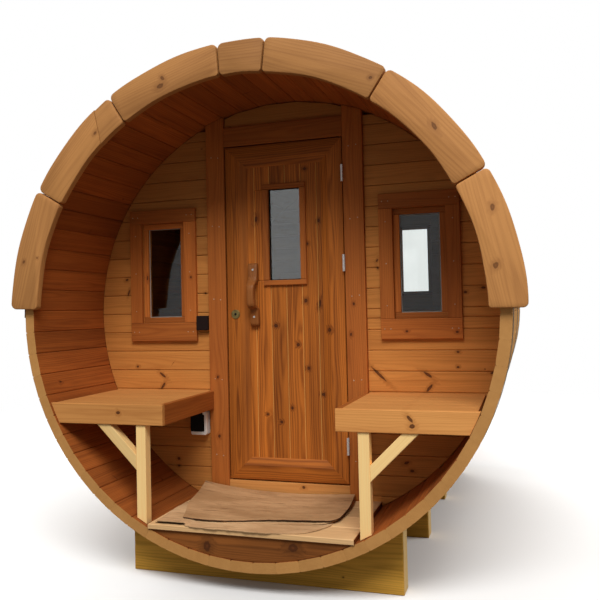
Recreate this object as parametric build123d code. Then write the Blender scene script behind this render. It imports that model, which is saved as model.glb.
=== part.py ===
from build123d import *
import math
import os

os.makedirs("parts", exist_ok=True)

# Barrel sauna: a horizontal barrel of staves on four cradle beams.
# Millimetres, +Z up, +Y runs along the barrel from the porch to the rear end.
# Pieces are drawn with the barrel axis at Z = 0 and the porch end of the staves at Y = 0.
# Each is then moved so that the origin lies on the ground under the middle of the barrel.

# barrel
BARREL_R = 1050.0
STAVE_T = 45.0
LENGTH = 2650.0
GROUND_GAP = 90.0
FIT = 0.3

# end walls
PORCH_DEPTH = 560.0
WALL_T = 45.0
REAR_SETBACK = 100.0

# arched boards on the two ends
FASCIA_PROUD = 55.0
FASCIA_WIDTH = 140.0
FASCIA_T = 32.0
FASCIA_START = -0.5
FASCIA_ANGLE = 27.9
FASCIA_KEY_ANGLE = 11.0
FASCIA_JOINT = 3.0

# roof covering and hoops
ROOF_T = 8.0
BAND_W = 40.0
BAND_T = 2.0
BAND_INSET = 90.0
BAND_TRIM = 0.2

# floors: the deck's height above the lowest inside of the staves
DECK_RISE = 124.0
DECK_T = 21.0
DECK_OVERHANG = 8.0
SKIRT_T = 20.0
SKIRT_SETBACK = 4.0

# doorway: space above it to the staves, and the step at the threshold
DOOR_HEADROOM = 194.0
DOOR_STEP = 66.0
DOOR_HALF = 300.0
JAMB_W = 95.0
JAMB_PROUD = 20.0
HEAD_H = 95.0
STOP_W = 15.0
STOP_T = 10.0

# door leaf
LEAF_GAP = 5.0
LEAF_T = 44.0
LEAF_RECESS = 6.0
STILE_W = 108.0
RAIL_H = 105.0
SLOPE_W = 36.0
SLOPE_T = 14.0
PANEL_T = 22.0
PANEL_RECESS = 16.0
LIGHT_H = 440.0
LIGHT_CENTRE_X = 2.0
LIGHT_DROP = 223.0
MOULDING_W = 30.0
MOULDING_T = 13.0
GLASS_T = 4.0
REBATE = 8.0

# hinges: two measured down from the doorway's top, one up from its bottom
HINGE_R = 6.5
HINGE_H = 78.0
HINGE_HIGH = 176.0
HINGE_MIDDLE = 595.0
HINGE_LOW = 183.0

# windows: the gaps left round their casings give the size of the glass
SASH_W = 28.0
SASH_T = 36.0
SASH_RECESS = 3.0
CASING_SIDE = 64.0
CASING_TOP = 68.0
CASING_BOTTOM = 92.0
CASING_T = 20.0
CASING_DROP = 287.0
GAP_TO_JAMB = 67.0
GAP_TO_STAVES = 29.2
GAP_TO_BENCH = 246.0
REAR_WINDOW_X = 340.0
REAR_GLASS_W = 182.0
REAR_GLASS_H = 448.0
REAR_GAP_ABOVE = 195.9

# benches: height of the seat above the deck, lap over the door jambs
BENCH_H = 495.0
BENCH_LAP = 20.0
BENCH_FRONT = 10.0
SEAT_T = 22.0
APRON_H = 88.0
APRON_T = 22.0
LEG = 45.0
LEG_GAP = 19.5
LEG_BACK = 8.0
BRACE_REACH = 192.0

# mat on the deck: bare deck left at each side, front edge and how far it bulges
MAT_LEFT_GAP = 2.5
MAT_RIGHT_GAP = 107.5
MAT_FRONT = 62.0
MAT_BULGE = 54.0
MAT_DOOR_GAP = 6.0
MAT_T = 8.0

# door pull: the bare strip of panel that it stands on, and its middle above the doorway's bottom
HANDLE_STRIP = 80.0
HANDLE_INSET = 27.0
HANDLE_RISE = 895.5
HANDLE_H = 305.0
HANDLE_W = 50.0
HANDLE_FOOT = 82.0
HANDLE_FOOT_T = 26.0
HANDLE_REACH = 70.0
GRIP_T = 28.0

# round plate on the closing stile
PLATE_INSET = 42.0
PLATE_RISE = 803.0
PLATE_R = 22.0
PLATE_T = 4.0

# boxes on the front wall, one above the left bench and one below it
SWITCH_W = 62.0
SWITCH_H = 72.0
SWITCH_D = 30.0
SWITCH_RISE = 334.0
OUTLET_W = 84.0
OUTLET_H = 116.0
OUTLET_D = 42.0
OUTLET_GAP = 13.0
OUTLET_DROP = 10.0

# cradles: how high they reach above the lowest outside of the staves
CRADLE_HALF = 603.0
CRADLE_T = 95.0
CRADLE_RISE = 175.0
CRADLE_COUNT = 4
CRADLE_INSET = 157.0

INNER_R = BARREL_R - STAVE_T
FIT_R = INNER_R - FIT
AXIS_HEIGHT = BARREL_R + GROUND_GAP
WALL_BACK = PORCH_DEPTH + WALL_T
REAR_FACE = LENGTH - REAR_SETBACK
REAR_INNER = REAR_FACE - WALL_T
DECK_TOP = DECK_RISE - INNER_R
DECK_LOW = DECK_TOP - DECK_T
DECK_HALF = math.sqrt(FIT_R**2 - DECK_LOW**2)
DOOR_TOP = INNER_R - DOOR_HEADROOM
DOOR_BOTTOM = DECK_TOP + DOOR_STEP
JAMB_FACE = PORCH_DEPTH - JAMB_PROUD
JAMB_OUT = DOOR_HALF + JAMB_W
LEAF_FACE = JAMB_FACE + LEAF_RECESS
LEAF_BACK = LEAF_FACE + LEAF_T
LEAF_HALF = DOOR_HALF - LEAF_GAP
LEAF_TOP = DOOR_TOP - LEAF_GAP
LEAF_BOTTOM = DOOR_BOTTOM + LEAF_GAP + 1.0
FIELD_HALF = LEAF_HALF - STILE_W
LIGHT_W = 2 * (FIELD_HALF - HANDLE_STRIP - MOULDING_W + LIGHT_CENTRE_X)
LIGHT_CENTRE_Z = DOOR_TOP - LIGHT_DROP - LIGHT_H / 2
HANDLE_X = HANDLE_INSET - FIELD_HALF
BENCH_TOP = DECK_TOP + BENCH_H
BENCH_LOW = BENCH_TOP - APRON_H
BENCH_EDGE = JAMB_OUT - BENCH_LAP
CASING_HIGH = DOOR_TOP - CASING_DROP
CASING_LOW = BENCH_TOP + GAP_TO_BENCH
CASING_NEAR = JAMB_OUT + GAP_TO_JAMB
CASING_FAR = math.sqrt(FIT_R**2 - CASING_HIGH**2) - GAP_TO_STAVES
WINDOW_X = (CASING_NEAR + CASING_FAR) / 2
GLASS_W = CASING_FAR - CASING_NEAR - 2 * (CASING_SIDE + SASH_W)
GLASS_H = CASING_HIGH - CASING_LOW - CASING_TOP - CASING_BOTTOM - 2 * SASH_W
WINDOW_Z = CASING_LOW + CASING_BOTTOM + SASH_W + GLASS_H / 2
REAR_FAR = REAR_WINDOW_X + REAR_GLASS_W / 2 + SASH_W + CASING_SIDE
REAR_HIGH = math.sqrt(FIT_R**2 - REAR_FAR**2) - REAR_GAP_ABOVE
REAR_WINDOW_Z = REAR_HIGH - CASING_TOP - SASH_W - REAR_GLASS_H / 2

place = Location((0, -LENGTH / 2, AXIS_HEIGHT))
pieces = {}


def box(x0, x1, y0, y1, z0, z1):
    """Plain block between the given limits."""
    centre = ((x0 + x1) / 2, (y0 + y1) / 2, (z0 + z1) / 2)
    return Pos(*centre) * Box(abs(x1 - x0), abs(y1 - y0), abs(z1 - z0))


def across(sketch, y0, y1):
    """Sketch drawn in X and Z, pushed from y0 to y1."""
    plane = Plane(origin=(0, y1, 0), x_dir=(1, 0, 0), z_dir=(0, -1, 0))
    return extrude(plane * sketch, y1 - y0, dir=(0, -1, 0))


def round_bar(radius, y0, y1):
    """Cylinder on the barrel axis."""
    return across(Circle(radius), y0, y1)


def sector(r_in, r_out, a0, a1):
    """Part of a ring between two angles, as a face."""
    outer = CenterArc((0, 0), r_out, a0, a1 - a0)
    inner = CenterArc((0, 0), r_in, a0, a1 - a0)
    sides = Line(outer @ 0, inner @ 0) + Line(outer @ 1, inner @ 1)
    return make_face(outer + inner + sides)


def arc_slab(r_in, r_out, a0, a1, y0, y1):
    """Curved slab along the barrel."""
    return across(sector(r_in, r_out, a0, a1), y0, y1)


def group(shapes):
    """Like pieces that don't touch, kept together as one part."""
    return Compound([shape.solid() for shape in shapes])


def in_barrel(shape):
    """Shape trimmed to the round inside of the staves."""
    return shape & round_bar(FIT_R, -BARREL_R, LENGTH + BARREL_R)


def frame_block(width, height, side, top, bottom, y0, y1, cx, cz):
    """Rectangular frame whose opening is width by height, centred on cx, cz."""
    outer = box(
        cx - width / 2 - side,
        cx + width / 2 + side,
        y0,
        y1,
        cz - height / 2 - bottom,
        cz + height / 2 + top,
    )
    hole = box(cx - width / 2, cx + width / 2, y0 - 1, y1 + 1, cz - height / 2, cz + height / 2)
    return outer - hole


# staves, in six equal groups round the barrel
stave_groups = ("bottom", "lower_right", "upper_right", "top", "upper_left", "lower_left")
group_angle = 360.0 / len(stave_groups)
for i, side_name in enumerate(stave_groups):
    start = -90.0 + (i - 0.5) * group_angle
    pieces[f"staves_{side_name}"] = arc_slab(INNER_R, BARREL_R, start, start + group_angle, 0, LENGTH)


# arched fascia boards: rounded corners, eased front edges
def fascia_board(a0, a1, y_back, y_front):
    """One arched board whose face looks away from the barrel."""
    r_out = BARREL_R + FASCIA_PROUD
    r_in = r_out - FASCIA_WIDTH
    trim = math.degrees(FASCIA_JOINT / 2 / r_in)
    face = fillet(sector(r_in, r_out, a0 + trim, a1 - trim).vertices(), 14)
    board = across(face, min(y_back, y_front), max(y_back, y_front))
    edges = [e for e in board.edges() if abs(e.center().Y - y_front) < 0.01]
    return fillet(edges, 5)


angles = [FASCIA_START]
for i in range(7):
    angles.append(angles[-1] + (FASCIA_KEY_ANGLE if i == 3 else FASCIA_ANGLE))
front_boards = [fascia_board(angles[i], angles[i + 1], 0, -FASCIA_T) for i in range(7)]
rear_boards = [fascia_board(angles[i], angles[i + 1], LENGTH, LENGTH + FASCIA_T) for i in range(7)]
pieces["front_fascia_right"] = group(front_boards[:3])
pieces["front_fascia_key"] = front_boards[3]
pieces["front_fascia_left"] = group(front_boards[4:])
pieces["rear_fascia"] = group(rear_boards)

# roof covering over the upper half
roof_in = BARREL_R + FIT
pieces["roof_covering_right"] = arc_slab(roof_in, roof_in + ROOF_T, 0, 90, FIT, LENGTH - FIT)
pieces["roof_covering_left"] = arc_slab(roof_in, roof_in + ROOF_T, 90, 180, FIT, LENGTH - FIT)

# steel hoops, seen below the roof covering
hoops = []
for y in (BAND_INSET, LENGTH / 2, LENGTH - BAND_INSET):
    ends = (180 + BAND_TRIM, 360 - BAND_TRIM)
    hoops.append(arc_slab(roof_in, roof_in + BAND_T, *ends, y - BAND_W / 2, y + BAND_W / 2))
pieces["steel_hoops"] = group(hoops)


# windows: opening in the wall, sash in the opening, casing on the outer face
def window_hole(cx, cz, glass_w, glass_h, y0, y1):
    """Block that cuts the wall for a sash."""
    w = glass_w + 2 * SASH_W
    h = glass_h + 2 * SASH_W
    return box(cx - w / 2, cx + w / 2, y0 - WALL_T, y1 + WALL_T, cz - h / 2, cz + h / 2)


def window(cx, cz, glass_w, glass_h, wall_face, out):
    """Casing, sash and glass; out is -1 when the outside is towards the porch."""
    w = glass_w + 2 * SASH_W
    h = glass_h + 2 * SASH_W
    casing_y = sorted((wall_face, wall_face + out * CASING_T))
    casing = frame_block(w, h, CASING_SIDE, CASING_TOP, CASING_BOTTOM, *casing_y, cx, cz)
    sash_y = sorted((wall_face - out * SASH_RECESS, wall_face - out * (SASH_RECESS + SASH_T)))
    rim = SASH_W - FIT
    sash = frame_block(glass_w, glass_h, rim, rim, rim, *sash_y, cx, cz)
    glass_y = (sash_y[0] + sash_y[1]) / 2
    pane = Pos(cx, glass_y, cz) * Box(glass_w + 2 * REBATE, GLASS_T, glass_h + 2 * REBATE)
    return casing, sash - pane, pane


# front wall round the doorway
disc = round_bar(FIT_R, PORCH_DEPTH, WALL_BACK)
left_side = disc & box(-BARREL_R, -JAMB_OUT, 0, LENGTH, -BARREL_R, BARREL_R)
right_side = disc & box(JAMB_OUT, BARREL_R, 0, LENGTH, -BARREL_R, BARREL_R)
front_light = (WINDOW_Z, GLASS_W, GLASS_H)
pieces["front_wall_left"] = left_side - window_hole(-WINDOW_X, *front_light, PORCH_DEPTH, WALL_BACK)
pieces["front_wall_right"] = right_side - window_hole(WINDOW_X, *front_light, PORCH_DEPTH, WALL_BACK)
head_top = DOOR_TOP + HEAD_H
pieces["front_wall_over_door"] = disc & box(-DOOR_HALF, DOOR_HALF, 0, LENGTH, head_top, BARREL_R)
pieces["front_wall_under_door"] = disc & box(-JAMB_OUT, JAMB_OUT, 0, LENGTH, -BARREL_R, DECK_TOP)

# door frame: posts, head and threshold, each with a stop behind the leaf
stop_half = DOOR_HALF - STOP_W
stop_y = WALL_BACK - STOP_T
jambs = []
for side in (-1, 1):
    post = box(side * DOOR_HALF, side * JAMB_OUT, JAMB_FACE, WALL_BACK, DECK_TOP, BARREL_R)
    stop = box(side * stop_half, side * DOOR_HALF, stop_y, WALL_BACK, DOOR_BOTTOM, DOOR_TOP)
    jambs.append(in_barrel(post) + stop)
pieces["door_jambs"] = group(jambs)
head = box(-DOOR_HALF, DOOR_HALF, JAMB_FACE, WALL_BACK, DOOR_TOP, head_top)
pieces["door_head"] = head + box(-stop_half, stop_half, stop_y, WALL_BACK, DOOR_TOP - STOP_W, DOOR_TOP)
sill = box(-DOOR_HALF, DOOR_HALF, JAMB_FACE, WALL_BACK, DECK_TOP, DOOR_BOTTOM)
pieces["door_threshold"] = sill + box(
    -stop_half, stop_half, stop_y, WALL_BACK, DOOR_BOTTOM, DOOR_BOTTOM + STOP_W
)

# rear wall with one window
rear = round_bar(FIT_R, REAR_INNER, REAR_FACE)
rear_light = (REAR_WINDOW_X, REAR_WINDOW_Z, REAR_GLASS_W, REAR_GLASS_H)
pieces["rear_wall"] = rear - window_hole(*rear_light, REAR_INNER, REAR_FACE)

left_window = window(-WINDOW_X, *front_light, PORCH_DEPTH, -1)
right_window = window(WINDOW_X, *front_light, PORCH_DEPTH, -1)
rear_window = window(*rear_light, REAR_FACE, 1)
for i, part_name in enumerate(("casing", "sash", "glass")):
    pieces[f"front_window_{part_name}"] = group([left_window[i], right_window[i]])
    pieces[f"rear_window_{part_name}"] = rear_window[i]


# benches, each a boxed seat on one braced leg
def bench(side):
    """Seat, joined aprons, leg and brace; side is -1 on the left."""
    far = side * BARREL_R
    near = side * BENCH_EDGE
    inner_edge = side * (BENCH_EDGE + APRON_T)
    seat_y = BENCH_FRONT + APRON_T
    seat = box(inner_edge, far, seat_y, PORCH_DEPTH, BENCH_TOP - SEAT_T, BENCH_TOP)
    front = box(near, far, BENCH_FRONT, seat_y, BENCH_LOW, BENCH_TOP)
    inner = box(near, inner_edge, seat_y, JAMB_FACE, BENCH_LOW, BENCH_TOP)
    leg_x0 = side * (DECK_HALF + LEG_GAP)
    leg_x1 = side * (DECK_HALF + LEG_GAP + LEG)
    leg_y0 = BENCH_FRONT + LEG_BACK
    leg = box(leg_x0, leg_x1, leg_y0, leg_y0 + LEG, -BARREL_R, BENCH_LOW)
    slant = LEG * math.sqrt(2)
    reach = BRACE_REACH
    brace_face = Polygon(
        (leg_x1, BENCH_LOW - reach),
        (leg_x1, BENCH_LOW - reach + slant),
        (leg_x1 + side * (reach - slant), BENCH_LOW),
        (leg_x1 + side * reach, BENCH_LOW),
        align=None,
    )
    brace = across(brace_face, leg_y0, leg_y0 + LEG)
    return in_barrel(seat), in_barrel(front) + inner, in_barrel(leg), brace


left_bench = bench(-1)
right_bench = bench(1)
for i, part_name in enumerate(("seats", "aprons", "legs", "braces")):
    pieces[f"bench_{part_name}"] = group([left_bench[i], right_bench[i]])

# porch deck, its curved skirt, the mat and the floor inside
pieces["porch_deck"] = box(-DECK_HALF, DECK_HALF, -DECK_OVERHANG, PORCH_DEPTH, DECK_LOW, DECK_TOP)
skirt_y = (SKIRT_SETBACK, SKIRT_SETBACK + SKIRT_T)
pieces["porch_skirt"] = in_barrel(box(-DECK_HALF, DECK_HALF, *skirt_y, -BARREL_R, DECK_LOW))
pieces["inner_floor"] = box(-DECK_HALF, DECK_HALF, WALL_BACK, REAR_INNER, DECK_LOW, DECK_TOP)

# mat: straight at the wall, wavy where its front edge is folded under
mat_left = MAT_LEFT_GAP - DECK_HALF
mat_right = DECK_HALF - MAT_RIGHT_GAP
mat_back = JAMB_FACE - MAT_DOOR_GAP
mat_w = mat_right - mat_left
mat_front = Spline(
    (mat_left, MAT_FRONT - 12),
    (mat_left + 0.27 * mat_w, MAT_FRONT - 16),
    (mat_left + 0.50 * mat_w, MAT_FRONT - 10),
    (mat_left + 0.68 * mat_w, MAT_FRONT - MAT_BULGE),
    (mat_left + 0.86 * mat_w, MAT_FRONT - MAT_BULGE / 2),
    (mat_right, MAT_FRONT + MAT_BULGE),
)
mat_edge = Polyline(mat_front @ 1, (mat_right, mat_back), (mat_left, mat_back), mat_front @ 0)
mat_plan = make_face(mat_front + mat_edge)
mat_plan = fillet(mat_plan.vertices().sort_by(Axis.Y)[-2:], 25)
pieces["porch_mat"] = extrude(Plane(origin=(0, 0, DECK_TOP)) * mat_plan, MAT_T)


# cradle beams hollowed to the barrel
def cradle(y0):
    """Beam on edge with a round seat for the barrel."""
    beam = box(-CRADLE_HALF, CRADLE_HALF, y0, y0 + CRADLE_T, -AXIS_HEIGHT, CRADLE_RISE - BARREL_R)
    return beam - round_bar(BARREL_R + FIT, y0 - CRADLE_T, y0 + 2 * CRADLE_T)


cradle_step = (LENGTH - 2 * CRADLE_INSET - CRADLE_T) / (CRADLE_COUNT - 1)
pieces["cradle_beams"] = group([cradle(CRADLE_INSET + i * cradle_step) for i in range(CRADLE_COUNT)])

# boxes on the front wall
def wall_box(width, height, depth, cx, cz, corner, edge):
    """Box on the porch side of the front wall, rounded at its corners and front edges."""
    body = Pos(cx, PORCH_DEPTH - depth / 2, cz) * Box(width, depth, height)
    body = fillet(body.edges().filter_by(Axis.Y), corner)
    return fillet(body.edges().group_by(Axis.Y)[0], edge)


switch_x = -JAMB_OUT - 1.5 - SWITCH_W / 2
switch_z = BENCH_TOP + SWITCH_RISE
pieces["wall_switch_box"] = wall_box(SWITCH_W, SWITCH_H, SWITCH_D, switch_x, switch_z, 6, 3)
outlet_x = -JAMB_OUT - OUTLET_GAP - OUTLET_W / 2
outlet_z = BENCH_LOW - OUTLET_DROP - OUTLET_H / 2
outlet = wall_box(OUTLET_W, OUTLET_H, OUTLET_D, outlet_x, outlet_z, 9, 4)
recess_y = PORCH_DEPTH - 0.7 * OUTLET_D
recess = Pos(outlet_x, recess_y, outlet_z) * Box(0.72 * OUTLET_W, OUTLET_D, 0.72 * OUTLET_H)
pieces["wall_outlet_box"] = outlet - fillet(recess.edges().filter_by(Axis.Y), 5)

# door leaf: stiles and rails slope down to the panel on their inner edges
leaf_h = LEAF_TOP - LEAF_BOTTOM
leaf_cz = (LEAF_TOP + LEAF_BOTTOM) / 2
field_w = 2 * FIELD_HALF
field_h = leaf_h - 2 * RAIL_H
frame = frame_block(field_w, field_h, STILE_W, RAIL_H, RAIL_H, LEAF_FACE, LEAF_BACK, 0, leaf_cz)
face_plane = Plane(origin=(0, LEAF_FACE, leaf_cz), x_dir=(1, 0, 0), z_dir=(0, -1, 0))
slope_ends = [
    face_plane * Rectangle(field_w + 2 * SLOPE_W, field_h + 2 * SLOPE_W),
    face_plane.offset(-SLOPE_T) * Rectangle(field_w, field_h),
]
frame -= loft(slope_ends, ruled=True)
panel_y0 = LEAF_FACE + PANEL_RECESS
panel_y1 = panel_y0 + PANEL_T
tongue = 10.0
panel_block = box(
    -field_w / 2 - tongue,
    field_w / 2 + tongue,
    panel_y0,
    panel_y1,
    leaf_cz - field_h / 2 - tongue,
    leaf_cz + field_h / 2 + tongue,
)
light = box(
    LIGHT_CENTRE_X - LIGHT_W / 2,
    LIGHT_CENTRE_X + LIGHT_W / 2,
    panel_y0 - 30,
    panel_y1 + 30,
    LIGHT_CENTRE_Z - LIGHT_H / 2,
    LIGHT_CENTRE_Z + LIGHT_H / 2,
)
pieces["door_frame"] = frame - panel_block
glass_y0 = (panel_y0 + panel_y1) / 2 - GLASS_T / 2
door_glass = box(
    LIGHT_CENTRE_X - LIGHT_W / 2 - REBATE,
    LIGHT_CENTRE_X + LIGHT_W / 2 + REBATE,
    glass_y0,
    glass_y0 + GLASS_T,
    LIGHT_CENTRE_Z - LIGHT_H / 2 - REBATE,
    LIGHT_CENTRE_Z + LIGHT_H / 2 + REBATE,
)
pieces["door_panel"] = panel_block - light - door_glass
pieces["door_glass"] = door_glass
moulding = frame_block(
    LIGHT_W,
    LIGHT_H,
    MOULDING_W,
    MOULDING_W - 5,
    MOULDING_W - 5,
    panel_y0 - MOULDING_T,
    panel_y0,
    LIGHT_CENTRE_X,
    LIGHT_CENTRE_Z,
)
pieces["door_light_moulding"] = moulding

# door pull: two feet and a bowed grip, cut from one block of wood
foot_y = panel_y0 - HANDLE_FOOT_T
grip_y = panel_y0 - HANDLE_REACH
shoulder_y = grip_y + GRIP_T
handle_top = DOOR_BOTTOM + HANDLE_RISE + HANDLE_H / 2
handle_bottom = handle_top - HANDLE_H
foot_low = handle_bottom + HANDLE_FOOT
foot_high = handle_top - HANDLE_FOOT
side_view = Polygon(
    (panel_y0, handle_top),
    (foot_y, handle_top),
    (shoulder_y, foot_high + 10),
    (grip_y, foot_high - 14),
    (grip_y, foot_low + 14),
    (shoulder_y, foot_low - 10),
    (foot_y, handle_bottom),
    (panel_y0, handle_bottom),
    (panel_y0, foot_low),
    (shoulder_y, foot_low + 22),
    (shoulder_y, foot_high - 22),
    (panel_y0, foot_high),
    align=None,
)
pull_plane = Plane(origin=(HANDLE_X - HANDLE_W / 2, 0, 0), x_dir=(0, 1, 0), z_dir=(1, 0, 0))
pull = extrude(pull_plane * side_view, HANDLE_W, dir=(1, 0, 0))
outer_edges = [e for e in pull.edges() if e.center().Y < panel_y0 - 12 and abs(e.tangent_at(0.5).X) < 0.5]
pieces["door_handle"] = fillet(outer_edges, 5)

# round metal plate on the closing stile
plate_z = DOOR_BOTTOM + PLATE_RISE
plate_disc = across(Pos(PLATE_INSET - LEAF_HALF, plate_z) * Circle(PLATE_R), LEAF_FACE - PLATE_T, LEAF_FACE)
pieces["door_latch_plate"] = chamfer(plate_disc.edges().group_by(Axis.Y)[0], 1)

# hinges: upper knuckle and plate on the leaf, lower ones on the jamb
axis_x = DOOR_HALF - LEAF_GAP / 2
axis_y = JAMB_FACE - HINGE_R - 1.0
leaf_halves = []
jamb_halves = []
for z in (DOOR_TOP - HINGE_HIGH, DOOR_TOP - HINGE_MIDDLE, DOOR_BOTTOM + HINGE_LOW):
    upper = Pos(axis_x, axis_y, z + HINGE_H / 4 + FIT / 4) * Cylinder(HINGE_R, (HINGE_H - FIT) / 2)
    lower = Pos(axis_x, axis_y, z - HINGE_H / 4 - FIT / 4) * Cylinder(HINGE_R, (HINGE_H - FIT) / 2)
    leaf_plate = box(LEAF_HALF, LEAF_HALF + 1.6, axis_y, JAMB_FACE + 30, z + 2, z + HINGE_H / 2 - 2)
    jamb_plate = box(DOOR_HALF - 1.6, DOOR_HALF, axis_y, JAMB_FACE + 30, z - HINGE_H / 2 + 2, z - 2)
    leaf_halves.append(upper + leaf_plate)
    jamb_halves.append(lower + jamb_plate)
pieces["door_hinge_leaves"] = group(leaf_halves)
pieces["jamb_hinge_leaves"] = group(jamb_halves)

for name, shape in pieces.items():
    export_step(place * shape, f"parts/{name}.step")
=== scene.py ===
import math
import random

import bmesh
import bpy
import numpy as np
from mathutils import Matrix, Vector


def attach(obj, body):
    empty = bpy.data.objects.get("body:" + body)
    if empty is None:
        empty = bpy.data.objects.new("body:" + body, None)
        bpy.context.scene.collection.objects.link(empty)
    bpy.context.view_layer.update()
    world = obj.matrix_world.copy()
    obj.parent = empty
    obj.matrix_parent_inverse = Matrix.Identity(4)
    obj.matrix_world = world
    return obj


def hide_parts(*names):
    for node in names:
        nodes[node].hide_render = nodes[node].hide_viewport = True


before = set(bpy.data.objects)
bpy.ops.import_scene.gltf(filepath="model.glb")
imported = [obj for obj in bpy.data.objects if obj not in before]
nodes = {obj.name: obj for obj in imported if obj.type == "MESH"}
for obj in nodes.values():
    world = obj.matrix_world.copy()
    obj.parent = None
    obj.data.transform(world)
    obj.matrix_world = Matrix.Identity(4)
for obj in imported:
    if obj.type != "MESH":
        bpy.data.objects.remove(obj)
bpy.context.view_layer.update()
scene = bpy.context.scene

# Lengths are in millimetres, X and Z from the barrel axis and Y from the porch end of the staves,
# as in the part's source. spot() turns such a point into metres on the ground.
BARREL_R, STAVE_T, LENGTH, AXIS_H = 1050.0, 45.0, 2650.0, 1140.0
INNER_R = BARREL_R - STAVE_T
FIT_R = INNER_R - 0.3
WALL_Y, WALL_BACK, BOARD_PITCH, BOARD_JOINT = 560.0, 605.0, 95.2, 1.6
REAR_INNER, REAR_FACE = 2505.0, 2550.0
JAMB_FACE, JAMB_OUT, DOOR_HALF = 540.0, 395.0, 300.0
DOOR_TOP, DOOR_BOTTOM, HEAD_H = 811.0, -815.0, 95.0
STOP_FACE, STOP_W = 595.0, 15.0
LEAF_FACE, LEAF_BACK, LEAF_HALF, LEAF_TOP, LEAF_BOTTOM = 546.0, 590.0, 295.0, 806.0, -809.0
FIELD_HALF, FIELD_LOW, FIELD_HIGH, TUCK = 187.0, -704.0, 701.0, 8.0
PANEL_FACE, PANEL_BACK = 562.0, 584.0
LIGHT = (-77.0, 81.0, 148.0, 588.0)
WINDOW_X, WINDOW_Z, REAR_X, REAR_Z = 645.0, 204.0, 340.0, 342.0
GLASS_W, GLASS_H, SASH_W, SASH_IN, SASH_T = 182.0, 448.0, 28.0, 3.0, 36.0
CASING_SIDE, CASING_TOP, CASING_FOOT, CASING_T = 64.0, 68.0, 92.0, 20.0
ARCH_OUT, ARCH_IN, ARCH_T, ARCH_GAP = 1105.0, 965.0, 32.0, 2.4
DECK_TOP, DECK_HALF, DECK_T, SKIRT_Y, SKIRT_T = -881.0, 442.5, 21.0, 4.0, 20.0
BENCH_TOP, BENCH_LOW, BENCH_EDGE, BENCH_T, APRON_Y = -386.0, -474.0, 375.0, 22.0, 10.0
POST_IN, POST_W, POST_Y, BRACE_REACH = 462.0, 45.0, 18.0, 192.0
BEAM_HALF, BEAM_W, BEAM_TOP, BEAM_INSET = 603.0, 95.0, -875.0, 157.0
ROOF_IN, ROOF_OUT = 1.0503, 1.0528
ACROSS, UPRIGHT = (1, 0), (0, 1)


def spot(x, y, z):
    """Point in metres on the ground frame."""
    return Vector((x, y - LENGTH / 2, z + AXIS_H)) / 1000.0


def placed(name, data):
    """New object in the scene."""
    made = bpy.data.objects.new(name, data)
    scene.collection.objects.link(made)
    return made


# node helpers


class Value:
    """Number in a node tree. Sums written with it add math nodes."""

    def __init__(self, n, socket):
        self.n, self.socket = n, socket

    def __add__(self, other):
        return self.n.math("ADD", self, other)

    def __sub__(self, other):
        return self.n.math("SUBTRACT", self, other)

    def __rsub__(self, other):
        return self.n.math("SUBTRACT", other, self)

    def __mul__(self, other):
        return self.n.math("MULTIPLY", self, other)

    def __truediv__(self, other):
        return self.n.math("DIVIDE", self, other)

    def __rtruediv__(self, other):
        return self.n.math("DIVIDE", other, self)


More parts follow.
